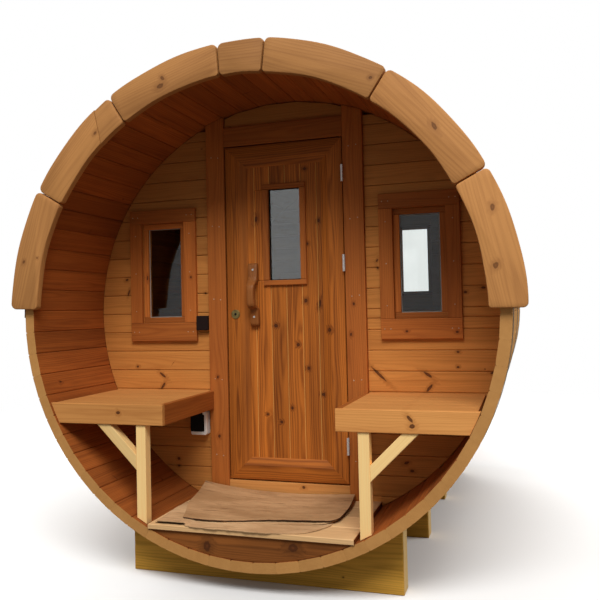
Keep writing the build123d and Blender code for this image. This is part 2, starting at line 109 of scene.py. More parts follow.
class Nodes:
    """Short way to add nodes to a material or a geometry tree."""

    def __init__(self, tree):
        self.tree = tree

    def feed(self, socket, value):
        """Links a socket to a value of the tree, or sets it."""
        value = value.socket if isinstance(value, Value) else value
        if isinstance(value, bpy.types.NodeSocket):
            self.tree.links.new(value, socket)
        else:
            socket.default_value = value

    def add(self, kind, inputs=None, **settings):
        node = self.tree.nodes.new(kind)
        for key, value in settings.items():
            setattr(node, key, value)
        for key, value in (inputs or {}).items():
            self.feed(node.inputs[key], value)
        return node

    def shade(self, kind, inputs=None, pick=0, **settings):
        """One output of a new shader node."""
        return Value(self, self.add("ShaderNode" + kind, inputs, **settings).outputs[pick])

    def geo(self, kind, inputs=None, **settings):
        """First output of a new geometry node."""
        return Value(self, self.add("GeometryNode" + kind, inputs, **settings).outputs[0])

    def math(self, operation, *values, clamp=False):
        return self.shade("Math", dict(enumerate(values)), operation=operation, use_clamp=clamp)

    def vector(self, operation, *values):
        pick = "Value" if operation in ("LENGTH", "DOT_PRODUCT") else "Vector"
        return self.shade("VectorMath", dict(enumerate(values)), pick, operation=operation)

    def combine(self, x=0.0, y=0.0, z=0.0):
        return self.shade("CombineXYZ", {0: x, 1: y, 2: z})

    def split(self, value, kind="XYZ"):
        return [Value(self, part) for part in self.add("ShaderNodeSeparate" + kind, {0: value}).outputs]

    def here(self):
        return self.shade("TexCoord", pick="Object")

    def ease(self, value, low, high):
        """0 to 1 as the value goes from low to high, with soft ends."""
        inputs = {"Value": value, "From Min": low, "From Max": high}
        return self.shade("MapRange", inputs, interpolation_type="SMOOTHSTEP")

    def noise(self, vector, stretch, detail=2.0, rough=0.5):
        place = self.vector("MULTIPLY", vector, stretch)
        return self.shade("TexNoise", {"Vector": place, "Scale": 1.0, "Detail": detail, "Roughness": rough})

    def blend(self, amount, one, two):
        """Mix of two colours, each a value of the tree or three screen values."""
        one, two = (colour(*c) if isinstance(c, tuple) else c for c in (one, two))
        return self.shade("Mix", {0: amount, 6: one, 7: two}, 2, data_type="RGBA")

    def bump(self, height, strength, distance):
        return self.shade("Bump", {"Height": height, "Strength": strength, "Distance": distance})

    def paint(self, geometry, material, where=True):
        return self.geo("SetMaterial", {"Geometry": geometry, "Selection": where, "Material": material})

    def store(self, geometry, name, value, kind="FLOAT", domain="POINT"):
        inputs = {"Geometry": geometry, "Name": name, "Value": value}
        return self.geo("StoreNamedAttribute", inputs, data_type=kind, domain=domain)

    def repeat(self, points, piece, turn, seed=None, **rest):
        """The piece on every point, made real. With a seed, each copy has a tone of its own."""
        copies = self.geo("InstanceOnPoints", {"Points": points, "Instance": piece, "Rotation": turn, **rest})
        if seed:
            chance = self.add("FunctionNodeRandomValue", {"Seed": seed}, data_type="FLOAT").outputs[1]
            copies = self.store(copies, "tone", chance, domain="INSTANCE")
        return self.geo("RealizeInstances", {"Geometry": copies})


class Finish(Nodes):
    """New material with its shader and output in place."""

    def __init__(self, name):
        self.material = bpy.data.materials.new(name)
        self.material.use_nodes = True
        super().__init__(self.material.node_tree)
        self.tree.nodes.clear()
        self.shader = self.add("ShaderNodeBsdfPrincipled")
        self.out = self.add("ShaderNodeOutputMaterial", {"Surface": self.shader.outputs[0]})

    def look(self, **sockets):
        """Links or sets the shader's sockets; underscores stand for spaces."""
        for key, value in sockets.items():
            self.feed(self.shader.inputs[key.replace("_", " ")], value)
        return self.material


def colour(red, green, blue):
    """Linear colour from 0-255 screen values."""
    parts = [c / 255.0 for c in (red, green, blue)]
    return [c / 12.92 if c <= 0.04045 else ((c + 0.055) / 1.055) ** 2.4 for c in parts] + [1.0]


# finishes

KNOT_EDGE, KNOT_HEART = (64, 30, 14), (112, 58, 28)


def wood(
    name, pale, deep, rough=0.62, ring=5.5, knots=0.25, blotch=0.4, spread=0.25, figure=0.5, bold=0.85,
    marks=(),
):
    """Sawn softwood. It reads each board's own run of grain and its tone.

    ring is the spacing of the year rings in mm, knots the share of cells that hold one, blotch and figure
    the strength of the stain's patches and of the grain, spread how far boards differ in tone, bold how
    dark a knot is. marks are knots at known places: x, z, long and short radius, slant in degrees.
    """
    n = Finish(name)
    grain = n.shade("Attribute", pick="Vector", attribute_name="grain")
    tone = n.shade("Attribute", pick="Fac", attribute_name="tone")
    x, y, z = n.split(grain)

    cell = n.vector("MULTIPLY", n.combine(x, y), (2.2, 9.0, 0.0))
    spots = n.add("ShaderNodeTexVoronoi", {"Vector": cell, "Scale": 1.0}).outputs
    centre = n.vector("MULTIPLY", spots["Position"], (1 / 2.2, 1 / 9.0, 0.0))
    dx, dy, _ = n.split(n.vector("SUBTRACT", n.combine(x, y), centre))
    first, second, third = n.split(spots["Color"], "Color")
    spike = n.math("GREATER_THAN", third, 0.6)
    oval = n.vector("LENGTH", n.combine(dx * 0.8, dy))
    thorn = n.vector("LENGTH", n.combine((dy * (first * 1.6 - 0.8) + dx) * 1.9, dy * 0.36))
    away = thorn * spike + oval * (1.0 - spike)
    reach = away / (first * 0.0065 + 0.0022) + n.math("GREATER_THAN", second, knots) * 99.0
    if marks:
        place = n.split(n.here())
        flat = n.combine(place[0], place[2])
    for mx, mz, long, wide, turn in marks:
        c, s = math.cos(math.radians(turn)) * 1000, math.sin(math.radians(turn)) * 1000
        rel = n.vector("SUBTRACT", flat, (mx / 1000, (mz + AXIS_H) / 1000, 0.0))
        u = n.vector("DOT_PRODUCT", rel, (c / long, s / long, 0.0))
        v = n.vector("DOT_PRODUCT", rel, (-s / wide, c / wide, 0.0))
        reach = n.math("MINIMUM", reach, n.vector("LENGTH", n.combine(u, v)))
    reach = reach * (n.noise(grain, (70, 90, 90)) * 0.8 + 0.6)
    core = n.ease(reach, 1.15, 0.8)
    heart = n.ease(reach, 0.5, 0.1) * 0.6
    halo = n.ease(reach, 3.4, 0.9)

    sway = n.noise(grain, (1.3, 8, 8)) * 0.034 - 0.017
    radius = n.vector("LENGTH", n.combine(0.0, y, z)) + sway + halo * 0.006
    rings = n.math("POWER", n.math("SINE", radius * (6283.0 / ring)) * 0.5 + 0.5, 2.0)
    fibre = n.noise(grain, (7, 380, 380), 3.0, 0.6)
    patch = n.noise(grain, (1.6, 11, 11), 3.0, 0.55)
    streak = n.noise(grain, (0.9, 60, 60), 2.0, 0.6)
    amount = rings * (0.6 * figure) + fibre * 0.5 - 0.2 + streak * (1.8 * figure) - 0.9 * figure
    amount = n.math("ADD", amount, patch * (2 * blotch) + (0.12 - blotch), clamp=True)

    base = n.blend(halo * 0.5, n.blend(amount, pale, deep), deep)
    base = n.blend(core * bold, base, n.blend(heart, KNOT_EDGE, KNOT_HEART))
    base = n.shade("HueSaturation", {"Color": base, "Value": tone * spread + (1.0 - spread / 2)})
    relief = n.bump(rings * 0.35 + fibre * 0.8 - core * 0.4, 0.5, 0.0009)
    dull = fibre * 0.25 + (rough - 0.1)
    return n.look(Base_Color=base, Roughness=dull, Normal=relief, Specular_IOR_Level=0.18)


def metal(name, one, two, rough, metallic=1.0):
    """Bare or plated metal with faint blotches and fine scratches."""
    n = Finish(name)
    cloud = n.noise(n.here(), (60, 60, 60), 4.0, 0.6)
    scratch = n.noise(n.here(), (900, 900, 120))
    base = n.blend(n.ease(cloud, 0.35, 0.7), one, two)
    dull = cloud * 0.3 + (rough - 0.15)
    return n.look(Base_Color=base, Roughness=dull, Normal=n.bump(scratch, 0.15, 0.0003), Metallic=metallic)


def plastic(name, one, two, rough):
    """Moulded plastic: slight mottling and a fine grained skin."""
    n = Finish(name)
    cloud = n.noise(n.here(), (25, 25, 25), 3.0)
    skin = n.bump(n.noise(n.here(), (1500, 1500, 1500), 1.0), 0.2, 0.0002)
    dull = cloud * 0.2 + (rough - 0.1)
    return n.look(Base_Color=n.blend(cloud, one, two), Roughness=dull, Normal=skin, Specular_IOR_Level=0.2)


def glazing(name, ior):
    """Clear pane with a faint film of dust."""
    n = Finish(name)
    film = n.noise(n.here(), (6, 6, 6), 4.0)
    tint = n.blend(film, (236, 240, 238), (250, 252, 251))
    dull = n.ease(film, 0.4, 0.9) * 0.02 + 0.004
    return n.look(Base_Color=tint, Roughness=dull, IOR=ior, Transmission_Weight=1.0)


def shingle():
    """Mineral granules pressed into bitumen."""
    n = Finish("bitumen_shingle")
    tone = n.shade("Attribute", pick="Fac", attribute_name="tone")
    grit = n.add("ShaderNodeTexVoronoi", {"Vector": n.here(), "Scale": 520.0}).outputs
    speck = n.split(grit["Color"], "Color")[0]
    wash = n.noise(n.here(), (3, 3, 3), 4.0)
    base = n.blend(tone, (46, 42, 40), (66, 60, 56))
    base = n.blend(speck * 0.55, base, (112, 104, 98))
    base = n.blend(n.ease(wash, 0.5, 0.8) * 0.35, base, (84, 82, 66))
    relief = n.bump(grit["Distance"], 0.6, 0.0012)
    return n.look(Base_Color=base, Roughness=speck * 0.2 + 0.75, Normal=relief)


def mat_fibre(name, pale, mid, dark):
    """Pressed fibre sheet with long streaks, stained and worn."""
    n = Finish(name)
    stain = n.noise(n.here(), (4, 9, 4), 5.0, 0.62)
    smear = n.noise(n.here(), (9, 60, 9), 4.0, 0.6)
    crease = n.noise(n.here(), (3.5, 130, 3.5), 3.0, 0.65)
    hair = n.noise(n.here(), (900, 420, 900), 3.0, 0.7)
    base = n.blend(n.ease(stain, 0.34, 0.68), pale, mid)
    base = n.blend(n.ease(crease, 0.5, 0.66) * 0.85, base, mid)
    base = n.blend(n.ease(smear, 0.56, 0.7) * 0.75, base, dark)
    base = n.blend(hair * 0.3, base, pale)
    relief = n.bump(hair * 0.4 + (smear + crease), 0.8, 0.003)
    return n.look(Base_Color=base, Roughness=hair * 0.15 + 0.8, Normal=relief, Specular_IOR_Level=0.2)


FASCIA_KNOTS = [
    (-336, 953, 16, 10, 20), (-325, 985, 10, 7, -40), (-654, 786, 9, 6, 50), (991, 357, 12, 8, 90),
    (997, 147, 12, 9, 60), (792, 671, 16, 7, 120), (558, 880, 7, 6, 0), (-1029, 243, 8, 6, 60),
    (-959, 258, 5, 4, 0),
]
WALL_KNOTS = [
    (445, -302, 46, 6, -44), (668, -303, 22, 6, -35), (672, -362, 20, 6, 50), (802, -200, 7, 5, 0),
    (800, -267, 6, 5, 0), (947, -293, 9, 5, 0), (448, 222, 8, 4, 60), (450, 187, 7, 4, -60),
    (472, 48, 6, 5, 0), (842, 65, 7, 5, 0), (919, 82, 9, 5, 0), (-806, -270, 7, 6, 0),
    (-663, -312, 20, 6, -40), (-662, -365, 18, 6, 55), (-861, 176, 9, 6, 30), (-851, 109, 16, 5, 70),
    (-420, 95, 6, 5, 0), (-582, -728, 8, 6, 0), (-582, -764, 7, 5, 0), (560, -700, 12, 6, 20),
    (585, -735, 9, 6, 0),
]
FRAME_KNOTS = [
    (-352, -318, 7, 5, 90), (-350, -606, 8, 6, 90), (322, -117, 8, 5, 90), (339, 25, 7, 5, 90),
    (-743, 182, 12, 4, 90), (-488, 177, 6, 5, 90), (580, -105, 7, 5, 0), (803, -110, 6, 5, 0),
]
BENCH_KNOTS = [(-587, -423, 9, 7, 0), (674, -446, 10, 8, 0), (666, -418, 15, 6, -50), (76, -832, 8, 7, 0)]
DOOR_KNOTS = [
    (109, 675, 8, 6, 0), (-143, 449, 14, 8, 80), (113, 316, 7, 6, 0), (172, 423, 8, 6, 90),
    (101, 45, 9, 8, 90), (169, 29, 18, 6, 80), (-52, -71, 9, 8, 0), (58, -163, 8, 8, 0),
    (107, -275, 8, 7, 90), (177, -398, 8, 7, 0), (21, -464, 8, 6, 90), (-104, -497, 7, 5, 0),
    (-34, -532, 7, 6, 0),
]
SKIRT_KNOTS = [(-177, -957, 22, 15, 80), (194, -935, 20, 16, 0)]

STAVES = wood("stave_spruce", (170, 94, 40), (108, 51, 20), knots=0.2, blotch=0.5, spread=0.35)
OUTER_STAVES = wood(
    "stave_outside", (226, 168, 96), (186, 126, 62), knots=0.2, blotch=0.25, spread=0.4, figure=0.4
)
ENDS = wood("stave_end_grain", (200, 146, 84), (170, 116, 60), spread=0.08, knots=0.05, figure=0.25)
WALLS = wood(
    "wall_spruce", (208, 138, 68), (150, 86, 34), knots=0.1, spread=0.5, figure=0.3, marks=WALL_KNOTS
)
REAR_WALLS = wood("rear_wall_spruce", (208, 132, 62), (150, 80, 30), knots=0.3, spread=0.18, figure=0.3)
FRAMES = wood(
    "frame_spruce", (188, 108, 46), (130, 62, 22), knots=0.1, spread=0.45, figure=0.4, marks=FRAME_KNOTS
)
DOOR = wood(
    "door_pine", (195, 112, 41), (90, 37, 11), 0.52, knots=0.06, spread=0.35, figure=0.65, marks=DOOR_KNOTS
)
BENCH = wood(
    "bench_pine", (218, 152, 84), (172, 106, 50), 0.58, knots=0.08, spread=0.45, figure=0.35,
    marks=BENCH_KNOTS,
)
FASCIA = wood(
    "fascia_pine", (186, 130, 74), (142, 92, 50), ring=8.0, knots=0.05, blotch=0.6, spread=0.42,
    figure=0.35, bold=0.6, marks=FASCIA_KNOTS,
)
PINE = wood("planed_pine", (255, 217, 148), (242, 190, 120), knots=0.06, figure=0.3)
RAW_EDGE = wood("unstained_edge", (232, 170, 92), (206, 138, 66), knots=0.0, figure=0.2)
DECKING = wood("deck_planks", (232, 188, 134), (200, 152, 100), knots=0.08, figure=0.35)
SKIRT = wood("skirt_planks", (156, 92, 40), (98, 54, 20), knots=0.2, blotch=0.7, bold=0.65, marks=SKIRT_KNOTS)
TREATED = wood("treated_timber", (232, 174, 72), (166, 118, 38), 0.7, knots=0.3, blotch=0.55)
PULL = wood("pull_beech", (160, 98, 48), (108, 56, 24), 0.42, knots=0.0)
HOOP = metal("hoop_steel", (168, 170, 170), (140, 143, 144), 0.42)
ZINC = metal("hinge_steel", (244, 244, 242), (220, 221, 220), 0.28, 0.5)
NAIL = metal("nail_steel", (206, 186, 160), (170, 148, 122), 0.4, 0.5)
BRASS = metal("dull_brass", (156, 138, 84), (116, 100, 58), 0.45, 0.7)
DARK = plastic("switch_plastic", (24, 11, 9), (34, 17, 13), 0.75)
BLACK = plastic("black_rubber", (12, 11, 10), (20, 18, 17), 0.8)
WHITE = plastic("housing_plastic", (252, 250, 244), (240, 238, 232), 0.45)
SEALANT = plastic("pale_sealant", (188, 184, 172), (164, 158, 146), 0.6)
GLASS = glazing("window_pane", 1.4)
DOOR_GLASS = glazing("door_pane", 2.1)
BITUMEN = shingle()
FIBRE = mat_fibre("mat_fibre_upper", (204, 160, 114), (166, 124, 82), (118, 82, 50))
# Dark finish for the sheets' undersides and the top sheet's rim: painted shade.
MAT_SHADE = mat_fibre("mat_fibre_painted_shade", (92, 62, 40), (70, 46, 30), (48, 32, 22))
UNDER_FIBRE = mat_fibre("mat_fibre_under", (226, 184, 136), (190, 146, 102), (138, 98, 64))


# outlines


def rect(u0, u1, v0, v1):
    return [(u0, v0), (u1, v0), (u1, v1), (u0, v1)]


def inset(box, by):
    """Box made smaller all round."""
    return box[0] + by, box[1] - by, box[2] + by, box[3] - by


def polar(radius, angle):
    t = math.radians(angle)
    return Vector((radius * math.cos(t), radius * math.sin(t)))


def chord(away):
    """Distance from the axis plane to the staves' inside, at so far from the axis the other way."""
    return math.sqrt(FIT_R**2 - away**2)


def soften(before, here, after, radius, steps=4):
    """Corner of an outline, rounded."""
    a, b = (before - here).normalized(), (after - here).normalized()
    half = a.angle(b) / 2
    centre = here + (a + b).normalized() * radius / math.sin(half)
    p, q = ((here + way * radius / math.tan(half) - centre).normalized() for way in (a, b))
    return [centre + (p * (1 - k / steps) + q * k / steps).normalized() * radius for k in range(steps + 1)]


def trimmed(pts, amount, share):
    """Anticlockwise outline moved inward, each edge by its share of the amount."""
    after = np.roll(pts, -1, axis=0) - pts
    after /= np.linalg.norm(after, axis=1)[:, None]
    inward = np.stack([-after[:, 1], after[:, 0]], 1)
    moved = amount * share
    made = []
    for i, here in enumerate(pts):
        (ax, ay), (bx, by) = inward[i - 1], inward[i]
        da, db = moved[i - 1], moved[i]
        cross = ax * by - ay * bx
        if abs(cross) < 0.02:
            made.append(here + inward[i] * (da + db) / 2)
        else:
            made.append(here + np.array([da * by - db * ay, db * ax - da * bx]) / cross)
    return np.array(made)


# timber


AXES = {
    "front": lambda u, v, d: (u, d, v),
    "top": lambda u, v, d: (u, v, d),
    "side": lambda u, v, d: (d, u, v),
}


class Timber:
    """Boards gathered into one mesh, each with its own run of grain."""

    def __init__(self, name, seed):
        self.name = name
        self.dice = random.Random(seed)
        self.points, self.faces, self.grain, self.tone, self.skin = [], [], [], [], []

    def start(self):
        """Where in the log a board was cut, and how dark it is."""
        d = self.dice
        return d.uniform(0, 60), d.uniform(-0.05, 0.05), d.uniform(0.03, 0.09), d.random()

    def toned(self, tone):
        return self.start()[:3] + (min(max(tone, 0.0), 1.0),)

    def loops(self, rings, along, across, cut=None, skin=0):
        """Board through equal rings of points."""
        run, side, depth, tone = cut or self.start()
        faces = skinned(len(self.points), len(rings), len(rings[0]))
        pts = np.array([p for ring in rings for p in ring], float)
        middle = (pts.min(0) + pts.max(0)) / 2
        along = np.array(along, float) / np.linalg.norm(along)
        across = np.array(across, float)
        across = across - along * (across @ along)
        across /= np.linalg.norm(across)
        thick = np.cross(along, across)
        for p, q in zip(pts, (pts - middle) / 1000.0):
            self.points.append(spot(*p))
            self.grain.append((q @ along + run, q @ across + side, q @ thick + depth))
            self.tone.append(tone)
        self.faces += faces
        self.skin += [skin] * len(faces)

    def slab(self, outline, d0, d1, arris, back, run=ACROSS, cut=None, skin=0, face="front", tight=None):
        """Outline pushed from depth d0 to d1, its edges eased by arris in front and by back behind.

        run is the way of the grain. tight gives the share of the easing that an edge takes, by its middle.
        """
        turn = AXES[face]
        pts = np.array(outline, float)
        area = np.sum(pts[:, 0] * np.roll(pts[:, 1], -1) - np.roll(pts[:, 0], -1) * pts[:, 1])
        pts = pts if area > 0 else pts[::-1]
        middles = (pts + np.roll(pts, -1, axis=0)) / 2
        share = np.array([tight(*m) for m in middles]) if tight else np.ones(len(pts))
        r, b = arris, back
        steps = [(r, d0), (0.29 * r, d0 + 0.29 * r), (0.0, d0 + r), (0.0, d1 - b), (b, d1)]
        rings = [[turn(u, v, d) for u, v in trimmed(pts, by, share)] for by, d in steps]
        self.loops(rings, turn(*run, 0), turn(-run[1], run[0], 0), cut, skin)

    def build(self, *finish, **more):
        """The boards made into a piece; it takes what settle() takes after the mesh."""
        mesh = bpy.data.meshes.new(self.name)
        mesh.from_pydata(self.points, [], self.faces)
        mesh.polygons.foreach_set("material_index", self.skin)
        grain = mesh.attributes.new("grain", "FLOAT_VECTOR", "POINT")
        grain.data.foreach_set("vector", np.array(self.grain, np.float32).ravel())
        tone = mesh.attributes.new("tone", "FLOAT", "POINT")
        tone.data.foreach_set("value", np.array(self.tone, np.float32))
        outward(mesh)
        settle(self.name, mesh, *finish, **more)


def skinned(first, count, size):
    """Faces of a solid through count equal rings of points, capped at both ends."""
    last = first + (count - 1) * size
    faces = [list(range(first, first + size))[::-1]]
    for a in range(first, last, size):
        for i in range(size):
            j = (i + 1) % size
            faces.append([a + i, a + j, a + size + j, a + size + i])
    return faces + [list(range(last, last + size))]


def outward(mesh):
    """Faces turned to look outwards."""
    bm = bmesh.new()
    bm.from_mesh(mesh)
    bmesh.ops.recalc_face_normals(bm, faces=bm.faces)
    bm.to_mesh(mesh)
    bm.free()


def settle(name, mesh, materials, stands_for=(), slot=None, body="building", sharp=18.0):
    """Mesh made into a piece: edges split by angle, finish and body set, and the nodes it stands for hidden.
    """
    for poly in mesh.polygons:
        poly.use_smooth = True
    mesh.set_sharp_from_angle(angle=math.radians(sharp))
    for material in materials if isinstance(materials, (list, tuple)) else [materials]:
        mesh.materials.append(material)
    made = placed(name, mesh)
    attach(made, body)
    if stands_for:
        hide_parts(*([stands_for] if isinstance(stands_for, str) else stands_for))
    return made


# geometry trees


def tree(name, **inputs):
    """Geometry tree with named inputs, given by kind, and one geometry output."""
    group = bpy.data.node_groups.new(name, "GeometryNodeTree")
    for kind, labels in inputs.items():
        for label in labels:
            group.interface.new_socket(label, in_out="INPUT", socket_type="NodeSocket" + kind)
    group.interface.new_socket("Geometry", in_out="OUTPUT", socket_type="NodeSocketGeometry")
    n = Nodes(group)
    return group, n, {socket.name: Value(n, socket) for socket in n.add("NodeGroupInput").outputs}


def grown(name, group, base=None, **values):
    """Plain mesh that a tree makes from its inputs; underscores stand for spaces."""
    holder = placed(name + "_setup", base or bpy.data.meshes.new(name + "_setup"))
    modifier = holder.modifiers.new("tree", "NODES")
    modifier.node_group = group
    for label, value in values.items():
        modifier[group.interface.items_tree[label.replace("_", " ")].identifier] = value
    bpy.context.view_layer.update()
    depsgraph = bpy.context.evaluated_depsgraph_get()
    mesh = bpy.data.meshes.new_from_object(holder.evaluated_get(depsgraph), depsgraph=depsgraph)
    mesh.name = name
    bpy.data.objects.remove(holder)
    if mesh.materials and mesh.materials[0] is None:
        mesh.materials.pop(index=0)
    return mesh


def stave_tree():
    """Ring of tapered staves round the barrel axis, each with its own grain."""
    group, n, inp = tree(
        "stave_ring",
        Int=["Staves", "Seed"],
        Float=["Inner Radius", "Outer Radius", "Length", "Joint", "Arris", "Turn"],
        Material=["Side", "Outside", "End"],
    )
    inner, outer, joint = inp["Inner Radius"], inp["Outer Radius"], inp["Joint"]
    half = math.pi / inp["Staves"]
    wide_in = inner * 2.0 * n.math("TANGENT", half) - joint
    wide_out = outer * 2.0 * n.math("SINE", half) - joint
    flat_out = outer * n.math("COSINE", half)
    sizes = {"Bottom Width": wide_in, "Top Width": wide_out, "Height": flat_out - inner, "Offset": 0.0}
    shape = n.geo("CurvePrimitiveQuadrilateral", sizes, mode="TRAPEZOID")
    eased = n.geo("FilletCurve", {"Curve": shape, "Radius": inp["Arris"], "Count": 2}, mode="POLY")
    filled = n.geo("FillCurve", {"Curve": eased}, mode="NGONS")
    pushed = n.geo("ExtrudeMesh", {"Mesh": filled, "Offset Scale": inp["Length"], "Individual": False})
    both = n.add("GeometryNodeJoinGeometry")
    for part in (pushed, n.geo("FlipFaces", {"Mesh": filled})):
        n.feed(both.inputs[0], part)
    stave = n.geo("MergeByDistance", {"Geometry": both.outputs[0], "Distance": 0.00001})
    normal = n.split(n.geo("InputNormal"))
    stave = n.paint(stave, inp["Side"])
    stave = n.paint(stave, inp["Outside"], n.math("GREATER_THAN", normal[1], 0.3))
    stave = n.paint(stave, inp["End"], n.math("GREATER_THAN", n.math("ABSOLUTE", normal[2]), 0.9))
    here = n.split(n.geo("InputPosition"))
    stave = n.store(stave, "grain", n.combine(here[2], here[0], here[1]), "FLOAT_VECTOR")
    place = n.combine(0.0, inp["Length"], (flat_out + inner) * 0.5)
    laid = n.geo("Transform", {"Geometry": stave, "Translation": place, "Rotation": (math.pi / 2, 0, 0)})
    points = n.geo("Points", {"Count": inp["Staves"], "Position": (0.0, 0.0, 0.0)})
    angle = n.geo("InputIndex") * 2.0 * half + inp["Turn"]
    ring = n.repeat(points, laid, n.combine(0.0, angle, 0.0), inp["Seed"])
    tone = n.geo("InputNamedAttribute", {"Name": "tone"}, data_type="FLOAT")
    grain = n.geo("InputNamedAttribute", {"Name": "grain"}, data_type="FLOAT_VECTOR")
    bend = n.math("SINE", tone * 917.0)
    shift = n.combine(tone * 61.0, bend * 0.05, bend * 0.02 + 0.06)
    n.add("NodeGroupOutput", {0: n.store(ring, "grain", n.vector("ADD", grain, shift), "FLOAT_VECTOR")})
    return group


def fixing_tree():
    """Round screw heads set on the vertices of the incoming mesh."""
    group, n, inp = tree(
        "fixings", Geometry=["Points"], Float=["Radius", "Height"], Vector=["Turn"], Material=["Finish"]
    )
    radius = inp["Radius"]
    sizes = {"Radius Top": radius * 0.62, "Radius Bottom": radius, "Depth": inp["Height"], "Vertices": 12}
    heads = n.repeat(inp["Points"], n.geo("MeshCone", sizes), inp["Turn"])
    n.add("NodeGroupOutput", {0: n.paint(heads, inp["Finish"])})
    return group


def shingle_tree():
    """Rows of overlapping tabs laid round the barrel from its springing up to the crown."""
    group, n, inp = tree(
        "shingle_courses",
        Float=["Radius", "Length", "Exposure", "Overlap", "Thickness", "Gap", "Turn"],
        Int=["Tabs", "Courses", "Seed"],
        Material=["Finish"],
    )
    radius, length, exposure, thick = inp["Radius"], inp["Length"], inp["Exposure"], inp["Thickness"]
    pitch = length / inp["Tabs"]
    tall = exposure + inp["Overlap"]
    size = n.combine(tall, pitch, thick)
    tab = n.geo("MeshCube", {"Size": size, "Vertices X": 5, "Vertices Y": 2, "Vertices Z": 2})
    across = n.split(n.geo("InputPosition"))[0]
    dip = across * across / (radius * -2.0)
    bent = n.geo("SetPosition", {"Geometry": tab, "Offset": n.combine(0.0, 0.0, dip)})
    columns = inp["Tabs"] + 1.0
    points = n.geo("Points", {"Count": columns * inp["Courses"]})
    index = n.geo("InputIndex")
    row = n.math("FLOOR", (index + 0.5) / columns)
    column = index - row * columns - n.math("MODULO", row, 2.0) * 0.5
    start = n.math("MAXIMUM", column * pitch, 0.0)
    end = n.math("MINIMUM", (column + 1.0) * pitch, length)
    share = (end - start - inp["Gap"]) / pitch
    angle = inp["Turn"] + (row + 0.5) * (exposure / radius)
    x, z = n.math("COSINE", angle) * radius, n.math("SINE", angle) * radius
    place = n.combine(x, (start + end) * 0.5, z)
    points = n.geo("SetPosition", {"Geometry": points, "Position": place})
    turn = n.combine(0.0, math.pi / 2 - angle - thick / tall, 0.0)
    wide, scale = n.math("GREATER_THAN", share, 0.05), n.combine(1.0, share, 1.0)
    tabs = n.repeat(points, bent, turn, inp["Seed"], Selection=wide, Scale=scale)
    n.add("NodeGroupOutput", {0: n.paint(tabs, inp["Finish"])})
    return group


# barrel and end walls


def staves():
    """All the staves of the barrel."""
    mesh = grown(
        "barrel_staves", stave_tree(), Staves=66, Inner_Radius=INNER_R / 1000, Outer_Radius=BARREL_R / 1000,
        Length=LENGTH / 1000, Joint=0.0002, Arris=0.0048, Turn=math.radians(1.35), Seed=5,
        Side=STAVES, Outside=OUTER_STAVES, End=ENDS,
    )
    mesh.transform(Matrix.Translation(spot(0, 0, 0)))
    sides = ("bottom", "lower_left", "lower_right", "top", "upper_left", "upper_right")
    settle("barrel_staves", mesh, (), [f"staves_{side}" for side in sides], "stained_staves")


def courses(timber, joints, y0, y1, left, right, hole=None, arris=(4.0, 1.0), shift=0.0):
    """Horizontal boards across the round wall, cut round a window. The upper boards get lower tones as
    painted shade under the roof, and shift moves the tone of a whole wall.

    A tongue closes each joint behind the boards' faces.
    """
    for z0, z1 in zip(joints, joints[1:]):
        low, high = max(z0, -FIT_R + 2) + BOARD_JOINT / 2, min(z1, FIT_R - 2) - BOARD_JOINT / 2
        # painted shade: board tones drop from 250 mm to 850 mm above the axis
        painted_roof_shade = min(max(((z0 + z1) / 2 - 250) / 600, 0.0), 1.0)
        cut = timber.toned(0.78 + shift - 0.8 * painted_roof_shade + timber.dice.uniform(-0.14, 0.14))
        spans = [(left, right, low, high)]
        if hole and hole[2] < high and hole[3] > low:
            hx0, hx1, hz0, hz1 = hole
            spans = [(left, hx0, low, high), (hx1, right, low, high)]
            spans += [(hx0, hx1, hz1, high)] if high - hz1 > 2 else []
            spans += [(hx0, hx1, low, hz0)] if hz0 - low > 2 else []
        for a, b, c, d in spans:
            levels = np.linspace(c, d, 5)
            reach = np.sqrt(np.maximum(FIT_R**2 - levels**2, 0.0))
            lefts, rights = np.maximum(a, -reach), np.minimum(b, reach)
            keep = rights - lefts > 4
            if not keep.any():
                continue
            sides = []
            for ends in (rights[keep], lefts[keep]):
                side = list(zip(ends, levels[keep]))
                sides.append([side[0], side[-1]] if np.ptp(ends) < 0.01 else side)
            timber.slab(sides[0] + sides[1][::-1], y0, y1, *arris, cut=cut)
            if d == high and keep[-1]:
                top = d + BOARD_JOINT + 1.5
                x0, x1 = lefts[-1] + 1, rights[-1] - 1
                if math.hypot(max(-x0, x1), top) > FIT_R:
                    room = math.sqrt(max(FIT_R**2 - top**2, 0.0))
                    x0, x1 = max(a, -room) + 1, min(b, room) - 1
                if x1 - x0 > 4:
                    timber.slab(rect(x0, x1, d - 1.5, top), y0 + 9, y1 - 7, 0.3, 0.3, cut=cut)


def opening(cx, cz):
    w, h = GLASS_W / 2 + SASH_W, GLASS_H / 2 + SASH_W
    return cx - w, cx + w, cz - h, cz + h


